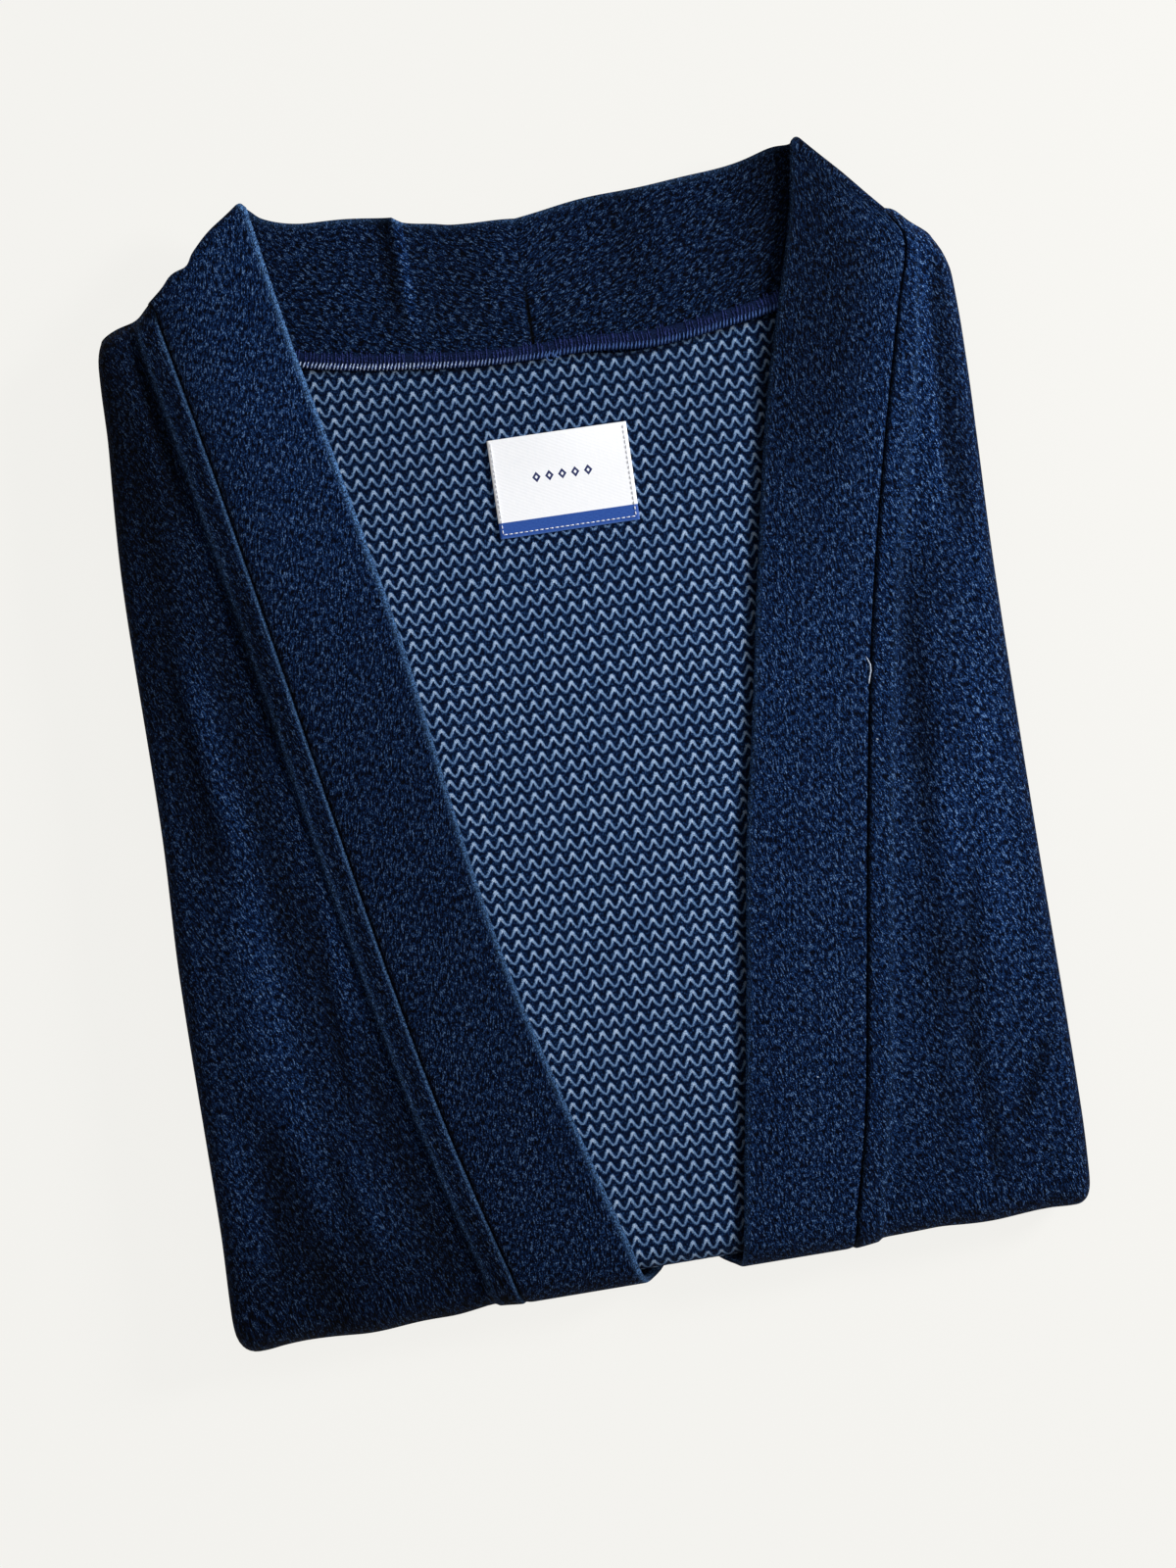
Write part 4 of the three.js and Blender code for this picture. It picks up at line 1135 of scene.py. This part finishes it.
def satin_label(name):
    """White satin with a blue stripe woven along its lower edge, and a plain row of small diamonds."""
    nodes = Nodes(name)
    u, v = nodes.cloth_uv()
    rib = nodes.math("SINE", nodes.times(v, 2 * math.pi / SATIN_RIB))
    soft = nodes.noise(nodes.vector(nodes.times(u, 4.0), v), 0.25, 2)
    white = nodes.mix(soft, srgb(244, 246, 250), srgb(253, 253, 255))
    weave = nodes.noise(nodes.vector(u, v), 1.3, 2)
    blue = nodes.mix(weave, srgb(24, 62, 142), srgb(48, 92, 172))
    stripe = nodes.math("GREATER_THAN", v, LABEL["height"] - LABEL_STRIPE)
    hem = nodes.math("GREATER_THAN", v, LABEL["height"] - 0.5)
    colour = nodes.mix(stripe, white, blue)
    colour = nodes.mix(hem, colour, srgb(70, 110, 190))
    pitch = DIAMOND["pitch"]
    across = nodes.math("ABSOLUTE", nodes.math("SUBTRACT", u, LABEL["width"] / 2))
    turned = nodes.math("MODULO", nodes.plus(across, pitch / 2), pitch)
    cell = nodes.math("SUBTRACT", turned, pitch / 2)
    tall = nodes.math("ABSOLUTE", nodes.math("SUBTRACT", v, DIAMOND["down"]))
    diamond = nodes.plus(nodes.math("ABSOLUTE", cell), nodes.times(tall, 0.8))
    in_row = nodes.math("LESS_THAN", across, DIAMOND["row"])
    inside = nodes.times(nodes.math("LESS_THAN", diamond, DIAMOND["half"]), in_row)
    hollow = nodes.math("LESS_THAN", diamond, DIAMOND["hollow"])
    mark = nodes.times(inside, nodes.math("SUBTRACT", 1.0, hollow))
    colour = nodes.mix(mark, colour, srgb(26, 38, 92))
    height = nodes.math("MULTIPLY_ADD", rib, 0.5, 0.5)
    material = nodes.finish(colour, height, 0.00006, 0.42)
    nodes.shader.inputs["Specular IOR Level"].default_value = 0.3
    return material


# The stage

FLOOR_HALF = 3.0
FLOOR_BELOW = 0.0002
FLOOR_COLOUR = (0.055, 0.0545, 0.053)
FLOOR_GLOW = (0.856, 0.848, 0.817)
WORLD_LIGHT = 0.3
# How far the packet is turned in the photograph
ROLL = math.radians(9.5)


def stage_floor():
    size = FLOOR_HALF
    mesh = bpy.data.meshes.new("floor")
    corners = [(-size, -size, 0), (size, -size, 0), (size, size, 0), (-size, size, 0)]
    mesh.from_pydata(corners, [], [[0, 1, 2, 3]])
    floor = bpy.data.objects.new("floor", mesh)
    floor.location.z = -FLOOR_BELOW
    link(floor)
    material = bpy.data.materials.new("pale_floor")
    material.use_nodes = True
    look = {
        "Base Color": (*FLOOR_COLOUR, 1),
        "Roughness": 0.9,
        "Specular IOR Level": 0.0,
        "Emission Color": (*FLOOR_GLOW, 1),
        "Emission Strength": 1.0,
    }
    for socket, value in look.items():
        material.node_tree.nodes["Principled BSDF"].inputs[socket].default_value = value
    mesh.materials.append(material)


def area_light(name, azimuth, elevation, distance, size, power):
    """A soft light aimed at the packet. Azimuth 0 is image right, 90 is image top."""
    light = bpy.data.lights.new(name, "AREA")
    light.size = size
    light.energy = power
    holder = bpy.data.objects.new(name, light)
    a = math.radians(azimuth) - ROLL
    e = math.radians(elevation)
    holder.location = (
        distance * math.cos(e) * math.cos(a),
        distance * math.cos(e) * math.sin(a),
        distance * math.sin(e),
    )
    holder.rotation_euler = holder.location.to_track_quat("Z", "Y").to_euler()
    link(holder)


def lights():
    area_light("key", 24, 30, 1.4, 0.35, 23)
    area_light("overhead", 90, 80, 2.0, 1.6, 6)
    world = bpy.data.worlds.new("studio")
    world.use_nodes = True
    background = world.node_tree.nodes["Background"]
    background.inputs["Color"].default_value = (1, 1, 1, 1)
    background.inputs["Strength"].default_value = WORLD_LIGHT
    bpy.context.scene.world = world
    bpy.context.scene.view_settings.view_transform = "Standard"


# The photograph, in pixels for each millimetre and pixels high, and the camera above the packet
PHOTO_SCALE = 2.56
PHOTO_HEIGHT = 1600
LENS = 85.0
SENSOR = 36.0
AIM = (-0.85, -25.4, 26.0)


def camera():
    """Straight above the packet, rolled as in the photograph."""
    data = bpy.data.cameras.new("camera")
    data.lens = LENS
    data.sensor_width = SENSOR
    data.sensor_fit = "AUTO"
    holder = bpy.data.objects.new("camera", data)
    height = PHOTO_HEIGHT / PHOTO_SCALE * MM * LENS / SENSOR
    holder.location = (AIM[0] * MM, AIM[1] * MM, AIM[2] * MM + height)
    holder.rotation_euler = (0, 0, -ROLL)
    link(holder)
    bpy.context.scene.camera = holder


camera()
lights()
stage_floor()

KNIT = indigo_knit("indigo_knit")
KNIT_INSIDE = knit_inside("knit_inside")
KNIT_SOLID = indigo_knit("indigo_knit_solid", on_solid=True)
OVERLOCK_GROUND = thread_material("overlock_ground", (3, 9, 26), (16, 32, 70))
OVERLOCK_NAVY = thread_material("overlock_navy", (10, 18, 50), (46, 60, 118))
THREAD_PALE = thread_material("thread_pale", (70, 100, 160), (206, 220, 242), (62, 90, 142))
THREAD_WHITE = thread_material("thread_white", (222, 226, 236), (250, 250, 252))
LINT = thread_material("lint", (130, 146, 168), (196, 206, 222))
SATIN = satin_label("satin_label")

front_left = front_cloth(LEFT, KNIT)
front_right = front_cloth(RIGHT, KNIT)
back = back_cloth(KNIT_INSIDE)
collar_left = collar_cloth(COLLARS["left"], KNIT)
collar_right = collar_cloth(COLLARS["right"], KNIT)
label = label_cloth(SATIN)
stitches = label_stitches(THREAD_WHITE)
strip = overlock_cloth(OVERLOCK_GROUND)
loops, ticks = overlock_threads(OVERLOCK_NAVY, THREAD_PALE)
fluff = lint(LINT)

for node in ("sleeve_left", "sleeve_right", "hidden_layers"):
    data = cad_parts[node].data
    data.materials.clear()
    data.materials.append(KNIT_SOLID)
